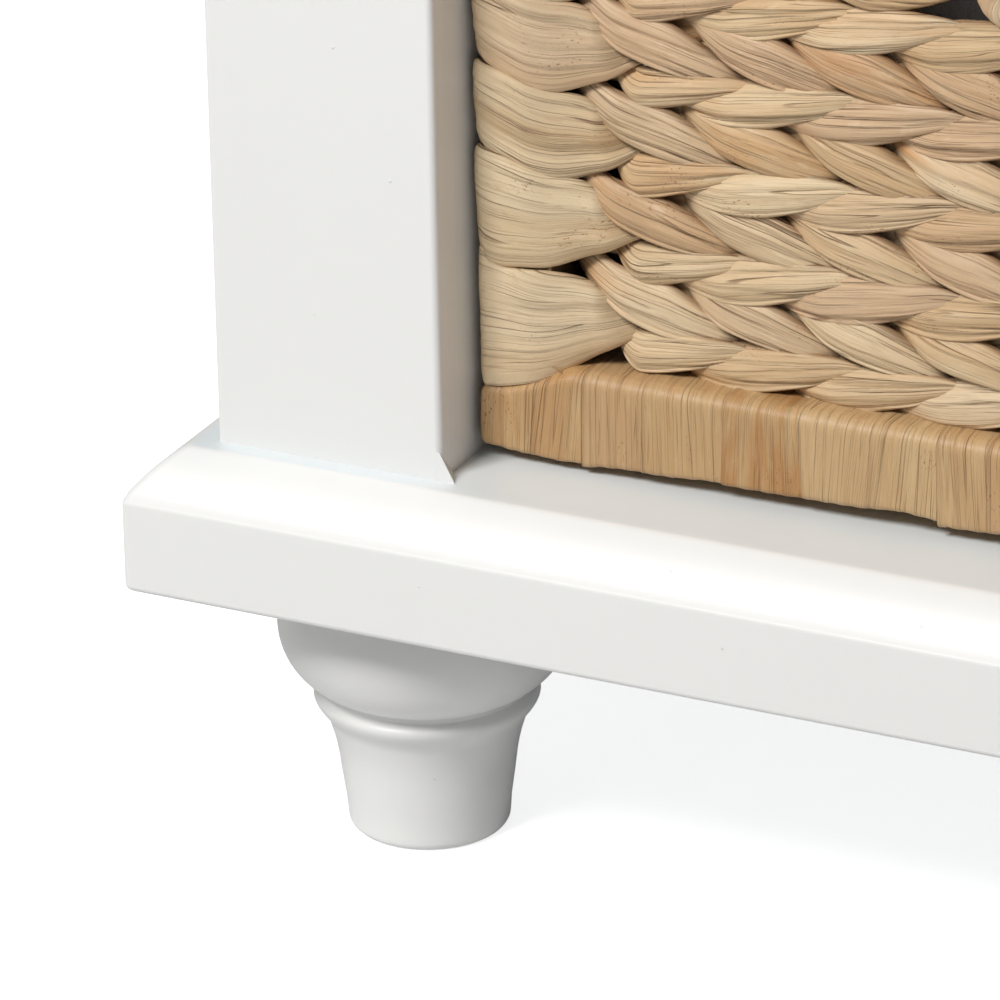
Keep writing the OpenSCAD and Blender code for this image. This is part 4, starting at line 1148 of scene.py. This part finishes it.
def hand_binding(b, seed, ns, nr):
    """Leaf strips wound round the wire loop of the hand hole."""
    rng = np.random.default_rng(seed)
    wl = wall(b, "front")
    R = 5.0
    hw, hh = HOLE_W / 2 - R, HOLE_H / 2 - R
    total = 4 * (hw + hh) + 2 * math.pi * R
    edges = [0.0]
    while edges[-1] < total - 8:
        edges.append(edges[-1] + rng.uniform(6.5, 10.0))
    edges = np.array(edges) * total / edges[-1]
    m = len(edges) - 1
    S, strip, F = [], [], []
    for j in range(m):
        w = edges[j + 1] - edges[j]
        f = np.concatenate([[0.0], np.linspace(0.12 / w, 1 - 0.12 / w, ns)])
        S += list(edges[j] + f * w)
        strip += [j] * len(f)
        F += list(f)
    S, strip, F = np.array(S), np.array(strip), np.array(F)
    ph = np.linspace(0, 2 * math.pi, nr, endpoint=False)
    thick, lean = rng.uniform(-0.1, 0.25, m), rng.uniform(0.3, 0.5, m)
    shing = lean[strip] * (1 - F) + thick[strip]
    first = F == 0.0
    shing[first] = thick[(strip[first] - 1) % m]
    s = S[:, None] + (2.3 * np.cos(ph) + 0.6 * np.sin(ph))[None, :] * np.interp(S, edges, np.append(rng.uniform(0.6, 1.3, m), 1.0))[:, None]
    s = np.mod(s, total)
    # the middle line: anticlockwise from the middle of the right side
    pts, dirs = [], []
    dense = np.linspace(0, total, 2001)[:-1]
    segs = [(hh, "v", 1), (math.pi * R / 2, "c", 0), (2 * hw, "h", -1), (math.pi * R / 2, "c", 1), (2 * hh, "v", -1), (math.pi * R / 2, "c", 2), (2 * hw, "h", 1), (math.pi * R / 2, "c", 3), (hh, "v", 1)]
    x, y = hw + R, 0.0
    heading = math.pi / 2
    out = np.zeros((len(dense), 2))
    hd = np.zeros(len(dense))
    acc = 0.0
    for L, kind, _ in segs:
        sel = (dense >= acc - 1e-9) & (dense < acc + L)
        g = dense[sel] - acc
        if kind == "c":
            cx, cy = x - R * math.sin(heading), y + R * math.cos(heading)
            a = heading + g / R
            out[sel] = np.stack([cx + R * np.sin(a), cy - R * np.cos(a)], 1)
            hd[sel] = a
            heading += L / R
            x, y = cx + R * math.sin(heading), cy - R * math.cos(heading)
        else:
            out[sel] = np.stack([x + g * math.cos(heading), y + g * math.sin(heading)], 1)
            hd[sel] = heading
            x, y = x + L * math.cos(heading), y + L * math.sin(heading)
        acc += L
    def at(v):
        return np.interp(v, dense, v)
    cx = np.interp(s, np.append(dense, total), np.append(out[:, 0], out[0, 0]))
    cy = np.interp(s, np.append(dense, total), np.append(out[:, 1], out[0, 1]))
    ang = np.interp(s, np.append(dense, total), np.append(hd, hd[0] + 2 * math.pi))
    ripple = 0.06 * np.sin(2 * math.pi * (S - edges[strip])[:, None] / 1.2 + strip[:, None] * 1.7)
    rr = shing[:, None] + ripple
    ar, aw = 3.45, 3.3
    off = (ar + rr) * np.cos(ph)[None, :]
    u = wl[3] / 2 + cx + off * np.sin(ang)
    v = HOLE_C + cy - off * np.cos(ang)
    w = 2.2 + (aw + rr) * np.sin(ph)[None, :]
    P = on_wall(wl, u, v, w)
    n1, n2 = s.shape
    idx = np.arange(n1 * n2).reshape(n1, n2)
    a, c = idx, np.roll(idx, -1, 0)
    bb, dd = np.roll(a, -1, 1), np.roll(c, -1, 1)
    quads = np.stack([a, bb, dd, c], -1).reshape(-1, 4)
    sd = rng.uniform(0, 300, m)
    fib = np.stack(np.broadcast_arrays((ph * 3.4)[None, :] + sd[strip][:, None], (S - edges[strip])[:, None] + sd[strip][:, None] * 2.1, sd[strip][:, None] * np.ones_like(s)), -1).reshape(-1, 3)
    tone = leaf_tones(m, rng)
    tone[:, 0] = 0.5 + 0.5 * tone[:, 0]
    tn = (tone[strip][:, None, :] * np.ones((n1, n2, 1))).reshape(-1, 4)
    # painted shade at the foot of each strip's lapped edge
    tuck_tone_and_shade = np.broadcast_to((0.8 * (F == 0.0))[:, None], s.shape).reshape(-1)
    o = mesh_obj(f"basket_{b}_hand_hole_binding", P.reshape(-1, 3), quads, attrs={"fib": fib, "tint": tn, "tuck_tone_and_shade": tuck_tone_and_shade}, mats=(M_LEAF,))
    recalc(o)
    return o


def wire_stakes(b):
    """The wire stakes that the leaves are twined round. The two beside the hand hole bend in and meet its loop."""
    node = f"basket_{b}_stakes"
    lo, hi = box_mm(node)
    z0, z1 = lo[2] - ZF, hi[2] - ZF
    ph = np.linspace(0, 2 * math.pi, 12, endpoint=False)
    V, Q, T, n0 = [], [], [], 0
    for side in ("front", "right", "back", "left"):
        wl = wall(b, side)
        W = wl[3]
        for i in range(STAKES):
            u = STAKE_IN + (W - 2 * STAKE_IN) / (STAKES - 1) * i
            off = u - W / 2
            spans = [(z0, z1)]
            if side == "front" and abs(off) < HOLE_W / 2:
                spans = [(z0, HOLE_C - HOLE_H / 2 - 1.0), (HOLE_C + HOLE_H / 2 + 1.0, z1)]
            for a, c in spans:
                z = np.linspace(a + 0.3, c - 0.3, 40)
                bend = np.zeros_like(z)
                if side == "front" and HOLE_W / 2 <= abs(off) < HOLE_W / 2 + 14:
                    reach = abs(off) - HOLE_W / 2
                    bend = -np.sign(off) * reach * smooth01((z - HOLE_C + HOLE_H / 2 + 18) / 13) * smooth01((HOLE_C + HOLE_H / 2 + 18 - z) / 13)
                r = np.full_like(z, 1.25)
                r[[0, -1]] = 0.9
                P = on_wall(wl, u + bend[:, None] + r[:, None] * np.cos(ph), z[:, None] * np.ones(12), r[:, None] * np.sin(ph))
                v, q, t = loft(P[None])
                V.append(v)
                Q.append(q + n0)
                T.append(t + n0)
                n0 += len(v)
    o = mesh_obj(f"basket_{b}_wire_stakes", np.concatenate(V), np.concatenate(Q), np.concatenate(T), mats=(M_WIRE,))
    recalc(o)
    return finish_piece(o, f"basket_{b}", (node,))


def basket_floor(b, seed):
    """Flat leaf strips woven over and under."""
    rng = np.random.default_rng(seed)
    lo, hi = box_mm(f"basket_{b}_floor")
    x0, x1, y0, y1 = lo[0] + 0.4, hi[0] - 0.4, lo[1] + 0.4, hi[1] - 0.4
    zc = (lo[2] + hi[2]) / 2
    nx, ny = int((x1 - x0) / 17), int((y1 - y0) / 17)
    px, py = (x1 - x0) / nx, (y1 - y0) / ny
    P, fib, tn, cross_shade = [], [], [], []
    ns, nr = 2 * max(nx, ny) + 1, 10
    ph = np.linspace(0, 2 * math.pi, nr, endpoint=False)
    for axis, n, p, q, L in ((0, nx, px, py, y1 - y0), (1, ny, py, px, x1 - x0)):
        for i in range(n):
            s = np.linspace(0, L, ns)
            wave = 2.1 * np.cos(math.pi * (s / q - 0.5 + i + axis))
            across = (i + 0.5) * p + 0.46 * p * np.cos(ph) * (1 - 0.03 * rng.uniform(0, 1))
            lift = 1.7 * np.abs(np.sin(ph)) ** 0.7 * np.sign(np.sin(ph))
            A, Sg = np.meshgrid(across, s)
            Z = zc + wave[:, None] + lift[None, :] * (1 + 0.05 * rng.normal())
            pts = np.stack([x0 + A, y0 + Sg, Z] if axis == 0 else [x0 + Sg, y0 + A, Z], -1)
            P.append(pts)
            sd = rng.uniform(0, 300)
            fib.append(np.stack([Sg + sd, A, np.full_like(A, sd)], -1))
            tone = leaf_tones(1, rng)[0]
            tn.append(np.ones(A.shape + (1,)) * tone)
            # a little darker all over, and painted shade where each strip dives between the crossing strips
            cross_shade.append(np.full(A.shape, 0.15) + 0.4 * (np.abs(wave)[:, None] < 1.0))
    P, fib, tn, cross_shade = map(np.array, (P, fib, tn, cross_shade))
    o = tubes_obj(f"basket_{b}_woven_floor", P, fib, tn, cross_shade, M_LEAF)
    recalc(o)
    return o


def rounded_loop(x0, x1, y0, y1, r, per_side, per_corner):
    pts = []
    for cx, cy, a0 in ((x1 - r, y0 + r, -90), (x1 - r, y1 - r, 0), (x0 + r, y1 - r, 90), (x0 + r, y0 + r, 180)):
        pts += arc(cx, cy, r, a0, a0 + 90, per_corner)
    pts = np.array(pts)
    out = []
    for i in range(len(pts)):
        a, c = pts[i], pts[(i + 1) % len(pts)]
        k = max(1, int(np.hypot(*(c - a)) / per_side))
        out += [a + (c - a) * j / k for j in range(k)]
    return np.array(out)


def liner(b, seed):
    """A sewn cloth lining that stands inside the basket, hemmed at the top."""
    rng = np.random.default_rng(seed)
    lo, hi = box_mm(f"basket_{b}_liner")
    loop = rounded_loop(lo[0] + 0.5, hi[0] - 0.5, lo[1] + 0.5, hi[1] - 0.5, 5.0, 4.0, 4)
    c = loop.mean(0)
    L = np.concatenate([[0], np.cumsum(np.hypot(*np.diff(loop, axis=0).T))])
    total = L[-1] + np.hypot(*(loop[0] - loop[-1]))
    tang = np.roll(loop, -1, 0) - np.roll(loop, 1, 0)
    nrm = np.stack([tang[:, 1], -tang[:, 0]], 1)
    nrm /= np.linalg.norm(nrm, axis=1)[:, None]
    z0, z1 = lo[2] + 0.5, hi[2] - 0.8
    H = z1 - z0
    prof = [(0.0, 0.15, 1.0)] + [(h, 0.0, 1.0) for h in (2.5, 6.0)] + [(h, 0.0, 1.0) for h in np.linspace(12, H - 12, 26)]
    prof += [(H - 9.4, 0.0, 1.0), (H - 9.0, 0.35, 1), (H - 8.6, 0.0, 1), (H - 5, -0.3, 1), (H - 2, -0.35, 1), (H - 0.5, -0.2, 1)]
    ph = rng.uniform(0, 6.28, 8)
    rings_out, rings_in = [], []
    th = 0.75
    for h, inset, _ in prof:
        f = h / H
        slack = smooth01(h / 20) * smooth01((H - h + 14) / 26)
        wave = 0.7 * (np.sin(2 * math.pi * L * 7 / total + ph[0] + 1.3 * f) + 0.6 * np.sin(2 * math.pi * L * 13 / total + ph[1] - 2.1 * f) + 0.4 * np.sin(2 * math.pi * L * 29 / total + ph[2] + 3 * f)) * slack
        inn = 0.2 + inset + 0.5 + np.abs(0) + (wave + 1.4 * slack) * 0.62
        rings_out.append(np.column_stack([loop - nrm * inn[:, None], np.full(len(loop), z0 + h)]))
        rings_in.append(np.column_stack([loop - nrm * (inn + th)[:, None], np.full(len(loop), z0 + max(h, 0.9))]))
    def floor_rings(base, z, up):
        rr = []
        for k in np.linspace(0.97, 0.03, 22):
            q = c + (base[:, :2] - c) * k
            bump = 0.35 * (np.sin(q[:, 0] / 23 + ph[3]) * np.sin(q[:, 1] / 29 + ph[4]) + 1) * smooth01((1 - k) * 9)
            rr.append(np.column_stack([q, np.full(len(q), z) + bump + up]))
        return rr
    rings = floor_rings(rings_out[0], z0, 0.0)[::-1] + rings_out + [np.column_stack([loop - nrm * (inn + th / 2)[:, None], np.full(len(loop), z1 + 0.35)])] + rings_in[::-1] + floor_rings(rings_in[0], z0 + 0.9, 0.0)
    P = np.array(rings)[None]
    V, q, t = loft(P)
    o = mesh_obj(f"basket_{b}_cloth_liner", V, q, t, mats=(M_LINER,))
    recalc(o)
    finish_piece(o, f"basket_{b}", (f"basket_{b}_liner",))
    return o


def make_basket(i, b):
    near = b == "left"
    body, straw_slot = f"basket_{b}", "hyacinth_braid"
    weave_nodes = (f"basket_{b}_weave",)
    lods = {"front": (42, 34, 9, 4) if near else (24, 20, 6, 2)}
    for side in ("front", "right", "back", "left"):
        ns, nf, nb, groups = lods.get(side, (18, 13, 5, 1))
        for o in weave_wall(b, side, 100 * i + len(side) * 7 + 3, ns, nf, nb, groups):
            finish_piece(o, body, weave_nodes)
    for k in range(4):
        hi_res = near and k == 0
        ns, nf, nb = (110, 46, 8) if hi_res else (56, 20, 6)
        finish_piece(straps(b, k, 31 * i + k + 5, ns, nf, nb), body, weave_nodes)
    finish_piece(hand_binding(b, 61 + i, 12 if near else 7, 28 if near else 16), body, weave_nodes)
    steps = (0.42, 1.6) if near else (1.0, 2.0)
    wrapped_ring(f"basket_{b}_base_wrap", b, BAND_Z0, BAND_Z1 - BAND_Z0, 11 + i, steps, 22 if near else 12, 9 if near else 6, body, (f"basket_{b}_band",), fixed=BAND_STRIPS if near else (), press=True)
    wrapped_ring(f"basket_{b}_rim_wrap", b, RIM_Z0, B_H - RIM_Z0, 41 + i, (steps[1], steps[1]) if near else steps, 12, 7, body, (f"basket_{b}_rim",))
    finish_piece(basket_floor(b, 71 + i), body, (f"basket_{b}_floor",))
    liner(b, 81 + i)
    wire_stakes(b)


for _i, _b in enumerate(BASKETS):
    make_basket(_i, _b)

# ---------------------------------------------------------------- seat cushion
C_LO, C_HI = box_mm("cushion_cover")
C_W, C_D, C_H = C_HI - C_LO
C_MID = (C_LO + C_HI) / 2


def rounded_outline(w, d, r, per_side=12.0, per_corner=10):
    return rounded_loop(-w / 2, w / 2, -d / 2, d / 2, r, per_side, per_corner)


def cushion_blank(inset, drop):
    """A box cushion slightly smaller than its place: a boxing strip between two flat panels."""
    w, d, h = C_W - 2 * inset, C_D - 2 * inset, C_H - 2 * drop
    loop = rounded_outline(w, d, 20.0)
    r = 5.0
    prof = [(r, 0.0)] + [(r - r * math.sin(a), r - r * math.cos(a)) for a in np.radians((20, 45, 70, 90))]
    side = [(0.0, z) for z in np.linspace(r, h - r, 6)[1:-1]]
    top = [(r - r * math.cos(a), h - r + r * math.sin(a)) for a in np.radians((0, 20, 45, 70, 90))]
    c = loop.mean(0)
    n = np.roll(loop, -1, 0) - np.roll(loop, 1, 0)
    n = np.stack([n[:, 1], -n[:, 0]], 1)
    n /= np.linalg.norm(n, axis=1)[:, None]
    rings = [np.column_stack([loop - n * a, np.full(len(loop), z)]) for a, z in prof + side + top]
    def panel(base, z):
        out = []
        for k in (0.9, 0.75, 0.55, 0.35, 0.15):
            q = base[:, :2] * np.array([1 - (1 - k) * 1.0, k])
            out.append(np.column_stack([q, np.full(len(q), z)]))
        return out
    rings = panel(rings[0], 0.0)[::-1] + rings + panel(rings[-1], h)
    P = np.array(rings)[None]
    P = P + np.array([C_MID[0], C_MID[1], C_LO[2] + drop])
    return loft(P)


def make_cushion():
    V, q, t = cushion_blank(5.0, 3.0)
    o = mesh_obj("seat_cushion", V, q, t)
    recalc(o)
    me = o.data
    bpy.context.view_layer.objects.active = o
    for x in bpy.context.selected_objects:
        x.select_set(False)
    o.select_set(True)
    me.remesh_voxel_size = 0.0062
    bpy.ops.object.voxel_remesh()
    start = np.zeros(len(o.data.vertices) * 3)
    o.data.vertices.foreach_get("co", start)
    start = start.reshape(-1, 3)
    m = o.modifiers.new("Cloth", "CLOTH")
    st = m.settings
    st.quality = 4
    st.mass = 0.25
    st.tension_stiffness = st.compression_stiffness = 18
    st.shear_stiffness = 8
    st.bending_stiffness = 1.2
    st.use_pressure = True
    st.uniform_pressure_force = 4.0
    st.effector_weights.gravity = 0.0
    m.collision_settings.use_collision = False
    m.point_cache.frame_start, m.point_cache.frame_end = 1, 20
    scene.frame_start, scene.frame_end = 1, 20
    for f in range(1, 21):
        scene.frame_set(f)
    dg = bpy.context.evaluated_depsgraph_get()
    ev = o.evaluated_get(dg).data
    moved = np.zeros(len(ev.vertices) * 3)
    ev.vertices.foreach_get("co", moved)
    moved = moved.reshape(-1, 3)
    o.modifiers.remove(m)
    scene.frame_set(1)
    d = moved - start
    L = np.linalg.norm(d, axis=1)
    cap = 0.014
    d *= (np.minimum(L, cap) / np.maximum(L, 1e-9))[:, None]
    co = start + d
    co = shape_cushion(co / MM) * MM
    o.data.vertices.foreach_set("co", co.ravel())
    o.data.update()
    foam_core(o)
    bpy.context.view_layer.objects.active = o
    sub = o.modifiers.new("Subdivision", "SUBSURF")
    sub.levels = sub.render_levels = 1
    bpy.ops.object.modifier_apply(modifier=sub.name)
    o.data.polygons.foreach_set("use_smooth", np.full(len(o.data.polygons), True))
    finish_piece(o, "cushion", ("cushion_cover",), M_LINEN)
    return o


def foam_core(o):
    """The foam block as it lies pressed inside its cover."""
    me = o.data.copy()
    me.name = "foam_core"
    n = np.zeros(len(me.vertices) * 3)
    co = np.zeros(len(me.vertices) * 3)
    me.vertices.foreach_get("normal", n)
    me.vertices.foreach_get("co", co)
    me.vertices.foreach_set("co", co - n * 0.0022)
    me.update()
    me.polygons.foreach_set("use_smooth", np.full(len(me.polygons), True))
    me.materials.clear()
    f = bpy.data.objects.new("foam_core", me)
    scene.collection.objects.link(f)
    finish_piece(f, "cushion", ("cushion_foam",), M_FOAM)
    return f


SEAM_LO, SEAM_HI = 5.5, C_H - 11.8             # heights of the two piped seams over the cushion's foot


def outline_sdf(x, y, w, d, r):
    """Distance inside a rounded rectangle (positive inside)."""
    qx, qy = np.abs(x) - (w / 2 - r), np.abs(y) - (d / 2 - r)
    return r - np.hypot(np.maximum(qx, 0), np.maximum(qy, 0)) - np.minimum(np.maximum(qx, qy), 0)


def shape_cushion(p):
    """Crowns the panels, pulls the sides in between the corners, and keeps the pad within its place."""
    x, y, z = p[:, 0] - C_MID[0], p[:, 1] - C_MID[1], p[:, 2] - C_LO[2]
    ins = outline_sdf(x, y, C_W, C_D, 24.0)
    h = z / C_H
    # sides pull in between the corners
    fx, fy = np.clip(x / (C_W / 2), -1, 1), np.clip(y / (C_D / 2), -1, 1)
    near_y, near_x = smooth01((np.abs(y) - C_D * 0.28) / (C_D * 0.22)), smooth01((np.abs(x) - C_W * 0.40) / (C_W * 0.10))
    pull_y = 4.0 * (1 - fx ** 4) * near_y
    pull_x = 3.0 * (1 - fy ** 4) * near_x
    y = y - np.sign(y) * pull_y
    x = x - np.sign(x) * pull_x
    # small gathers where the cloth is sewn to the piping
    seam = np.maximum(smooth01(1 - np.abs(z - SEAM_LO) / 9), smooth01(1 - np.abs(z - SEAM_HI) / 11))
    gx = np.sin(x / 3.3 + 1.9 * np.sin(x / 37)) * (0.55 + 0.45 * np.sin(x / 71 + 2))
    gy = np.sin(y / 3.2 + 1.7 * np.sin(y / 29)) * (0.55 + 0.45 * np.sin(y / 53 + 1))
    y = y + np.sign(y) * 0.55 * gx * seam * smooth01((np.abs(y) - C_D * 0.42) / 8)
    x = x + np.sign(x) * 0.55 * gy * seam * smooth01((np.abs(x) - C_W * 0.48) / 8)
    # a soft crown on top, a flat foot where it lies on the seat
    crown = smooth01(ins / 90.0)
    top = C_H - 1.2 - 7.5 * (1 - crown)
    up = smooth01((h - 0.5) / 0.35)
    z = np.where(z > top, top + (z - top) * 0.12, z)
    slack = 0.7 * np.sin(x / 61 + 1.3) * np.sin(y / 47 + 0.4) + 0.5 * np.sin(x / 23 + y / 31)
    z = z + up * slack * 0.9 * smooth01(ins / 30)
    edge = smooth01((26 - ins) / 22) * smooth01(ins / 4)
    z = z + up * edge * 0.40 * np.where(np.abs(x) / C_W > np.abs(y) / C_D + 0.0 * z, np.sin(y / 4.1 + 1.3 * np.sin(y / 31)), np.sin(x / 4.3 + 1.5 * np.sin(x / 43)))
    foot = 0.5 + 2.6 * (1 - smooth01(ins / 26.0))
    z = np.where(z < foot, foot, z)
    t = (z - SEAM_LO) / (SEAM_HI - SEAM_LO)
    return np.stack([x + C_MID[0], y + C_MID[1], np.clip(z, 0.4, C_H - 0.4) + C_LO[2]], 1)


def surface_ring(o, z_mm, loop):
    """Where a horizontal outline at this height meets the cushion's side."""
    from mathutils.bvhtree import BVHTree
    bm = bmesh.new()
    bm.from_mesh(o.data)
    tree = BVHTree.FromBMesh(bm)
    bm.free()
    out = []
    n = np.roll(loop, -1, 0) - np.roll(loop, 1, 0)
    n = np.stack([n[:, 1], -n[:, 0]], 1)
    n /= np.linalg.norm(n, axis=1)[:, None]
    for p, d in zip(loop, n):
        a = Vector(((p[0] + d[0] * 60 + C_MID[0]) * MM, (p[1] + d[1] * 60 + C_MID[1]) * MM, (C_LO[2] + z_mm) * MM))
        hit = tree.ray_cast(a, Vector((-d[0], -d[1], 0)), 0.2)
        out.append(list(hit[0]) if hit[0] is not None else [a[0] - d[0] * 0.062, a[1] - d[1] * 0.062, a[2]])
    return np.array(out) / MM, np.column_stack([n, np.zeros(len(n))])


def piping(o, name, z_mm, r=2.6):
    loop = rounded_outline(C_W - 16, C_D - 16, 22.0, 5.0, 12)
    pts, nrm = surface_ring(o, z_mm, loop)
    k = np.array([1, 2, 3, 2, 1.0])
    k /= k.sum()
    pts = sum(np.roll(pts, i - 2, 0) * k[i] for i in range(5))
    ph = np.linspace(0, 2 * math.pi, 14, endpoint=False)
    up = np.array([0, 0, 1.0])
    n = len(pts)
    twist = np.arange(n) * 0.0
    P = pts[:, None, :] + nrm[:, None, :] * (1.0 + r * np.cos(ph))[None, :, None] + up * (r * np.sin(ph))[None, :, None]
    idx = np.arange(n * 14).reshape(n, 14)
    a, c = idx, np.roll(idx, -1, 0)
    b, d = np.roll(a, -1, 1), np.roll(c, -1, 1)
    m = mesh_obj(name, P.reshape(-1, 3), np.stack([a, c, d, b], -1).reshape(-1, 4))
    recalc(m)
    finish_piece(m, "cushion", (), M_LINEN)
    return m


_cushion = make_cushion()
piping(_cushion, "cushion_piping_top", SEAM_HI)
piping(_cushion, "cushion_piping_foot", SEAM_LO)


def zip_strip(o):
    """The zip along the back of the boxing strip, lying on the cover."""
    from mathutils.bvhtree import BVHTree
    bm = bmesh.new()
    bm.from_mesh(o.data)
    tree = BVHTree.FromBMesh(bm)
    bm.free()
    lo, hi = box_mm("cushion_zip")
    xs = np.linspace(lo[0] + 1, hi[0] - 1, 141)
    zs = np.linspace(lo[2] + 0.3, hi[2] - 0.3, 9)
    Y = np.zeros((len(xs), len(zs)))
    for i, x in enumerate(xs):
        for j, z in enumerate(zs):
            hit = tree.ray_cast(Vector((x * MM, (C_HI[1] + 40) * MM, z * MM)), Vector((0, -1, 0)), 0.2)
            Y[i, j] = hit[0][1] / MM if hit[0] is not None else C_HI[1] - 4
    mid = (zs[0] + zs[-1]) / 2
    rise = 0.35 + 0.75 * (np.abs(zs - mid) < 1.3)
    out = np.stack([np.repeat(xs[:, None], len(zs), 1), Y + rise, np.repeat(zs[None], len(xs), 0)], -1)
    inn = out[:, ::-1].copy()
    inn[..., 1] = Y[:, ::-1] - 0.5
    V, q, t = loft(np.concatenate([out, inn], 1)[None])
    m = mesh_obj("cushion_zip_tape", V, q, t)
    recalc(m)
    finish_piece(m, "cushion", ("cushion_zip",), M_ZIP)
    # the slider and its pull, at the end by the left corner
    y = float(Y[6, 4])
    P = []
    for dy, k in ((0.3, 0.75), (0.9, 1.0), (2.6, 1.0), (3.1, 0.7)):
        P.append([(xs[6] + 4.6 * k * math.cos(a), y + dy, mid + 3.3 * k * math.sin(a)) for a in np.linspace(0, 2 * math.pi, 16, endpoint=False)])
    P = np.array(P)
    Q = []
    for dy, k in ((3.0, 0.8), (3.4, 1.0), (4.1, 1.0), (4.4, 0.8)):
        Q.append([(xs[6] + 2.2 * k * math.cos(a) * (1 + 0.2 * (math.sin(a) < 0)), y + dy + 0.5 * (math.sin(a) < 0), mid - 9 + 11.0 * k * math.sin(a)) for a in np.linspace(0, 2 * math.pi, 16, endpoint=False)])
    V, q, t = loft(np.array([P, Q]))
    m = mesh_obj("cushion_zip_slider", V, q, t)
    recalc(m)
    m.data.set_sharp_from_angle(angle=math.radians(50))
    finish_piece(m, "cushion", (), M_ZINC)


zip_strip(_cushion)

# ---------------------------------------------------------------- floor and light
def disc(name, radius, mat, rings=24, n=96):
    r = np.linspace(0, radius, rings + 1)[1:]
    a = np.linspace(0, 2 * math.pi, n, endpoint=False)
    V = [(0, 0, 0)] + [(q * math.cos(x), q * math.sin(x), 0) for q in r for x in a]
    T = [(0, 1 + i, 1 + (i + 1) % n) for i in range(n)]
    Q = [(1 + k * n + i, 1 + (k + 1) * n + i, 1 + (k + 1) * n + (i + 1) % n, 1 + k * n + (i + 1) % n) for k in range(rings - 1) for i in range(n)]
    o = mesh_obj(name, np.array(V) / MM, Q, T, mats=(mat,))
    return o


def floor_material():
    """A pale sweep: what the camera sees of it is lifted towards white, as a backdrop light would."""
    m = Mat("studio_floor", **{"Roughness": 0.6, "Emission Color": (1.0, 1.0, 1.0, 1.0)})
    p = m.coord()
    g = m.noise(p, 3.0, 3.0)
    m.link(m.mix(g, (0.70, 0.70, 0.70), (0.72, 0.72, 0.72)), "Base Color")
    seen = m.node("LightPath").outputs["Is Camera Ray"]
    m.link(m.math("MULTIPLY", seen, 0.78), "Emission Strength")
    m.link(m.bump(m.noise(p, 180.0, 2.0), 0.0002, 0.2), "Normal")
    return m.m


disc("studio_floor", 9.0, floor_material())


def area_light(name, at, aim, size, power, colour=(1, 1, 1)):
    d = bpy.data.lights.new(name, "AREA")
    d.shape = "RECTANGLE"
    d.size, d.size_y = size
    d.energy = power
    d.color = colour
    o = bpy.data.objects.new(name, d)
    scene.collection.objects.link(o)
    o.location = at
    o.rotation_euler = (Vector(aim) - Vector(at)).to_track_quat("-Z", "Y").to_euler()
    return o


def from_sky(az, el, dist, centre=(-0.45, -0.18, 0.15)):
    """A place that many metres away, az degrees left of straight ahead and el degrees up."""
    a, e = math.radians(az), math.radians(el)
    return (centre[0] - dist * math.sin(a) * math.cos(e), centre[1] - dist * math.cos(a) * math.cos(e), centre[2] + dist * math.sin(e))


area_light("key", from_sky(21, 47, 3.6), (-0.45, -0.18, 0.15), (1.1, 1.1), 119.0, (1.0, 0.99, 0.975))
area_light("back_fill", from_sky(196, 34, 3.8, (0.0, 0.0, 0.2)), (0.0, 0.0, 0.2), (2.6, 1.2), 34.0, (0.97, 0.985, 1.0))

world = bpy.data.worlds.new("studio")
world.use_nodes = True
wt = world.node_tree
wt.nodes.clear()
_bg = wt.nodes.new("ShaderNodeBackground")
_bg.inputs["Color"].default_value = (0.93, 0.96, 1.0, 1.0)
_bg.inputs["Strength"].default_value = 0.195
_wo = wt.nodes.new("ShaderNodeOutputWorld")
wt.links.new(_bg.outputs[0], _wo.inputs[0])
scene.world = world
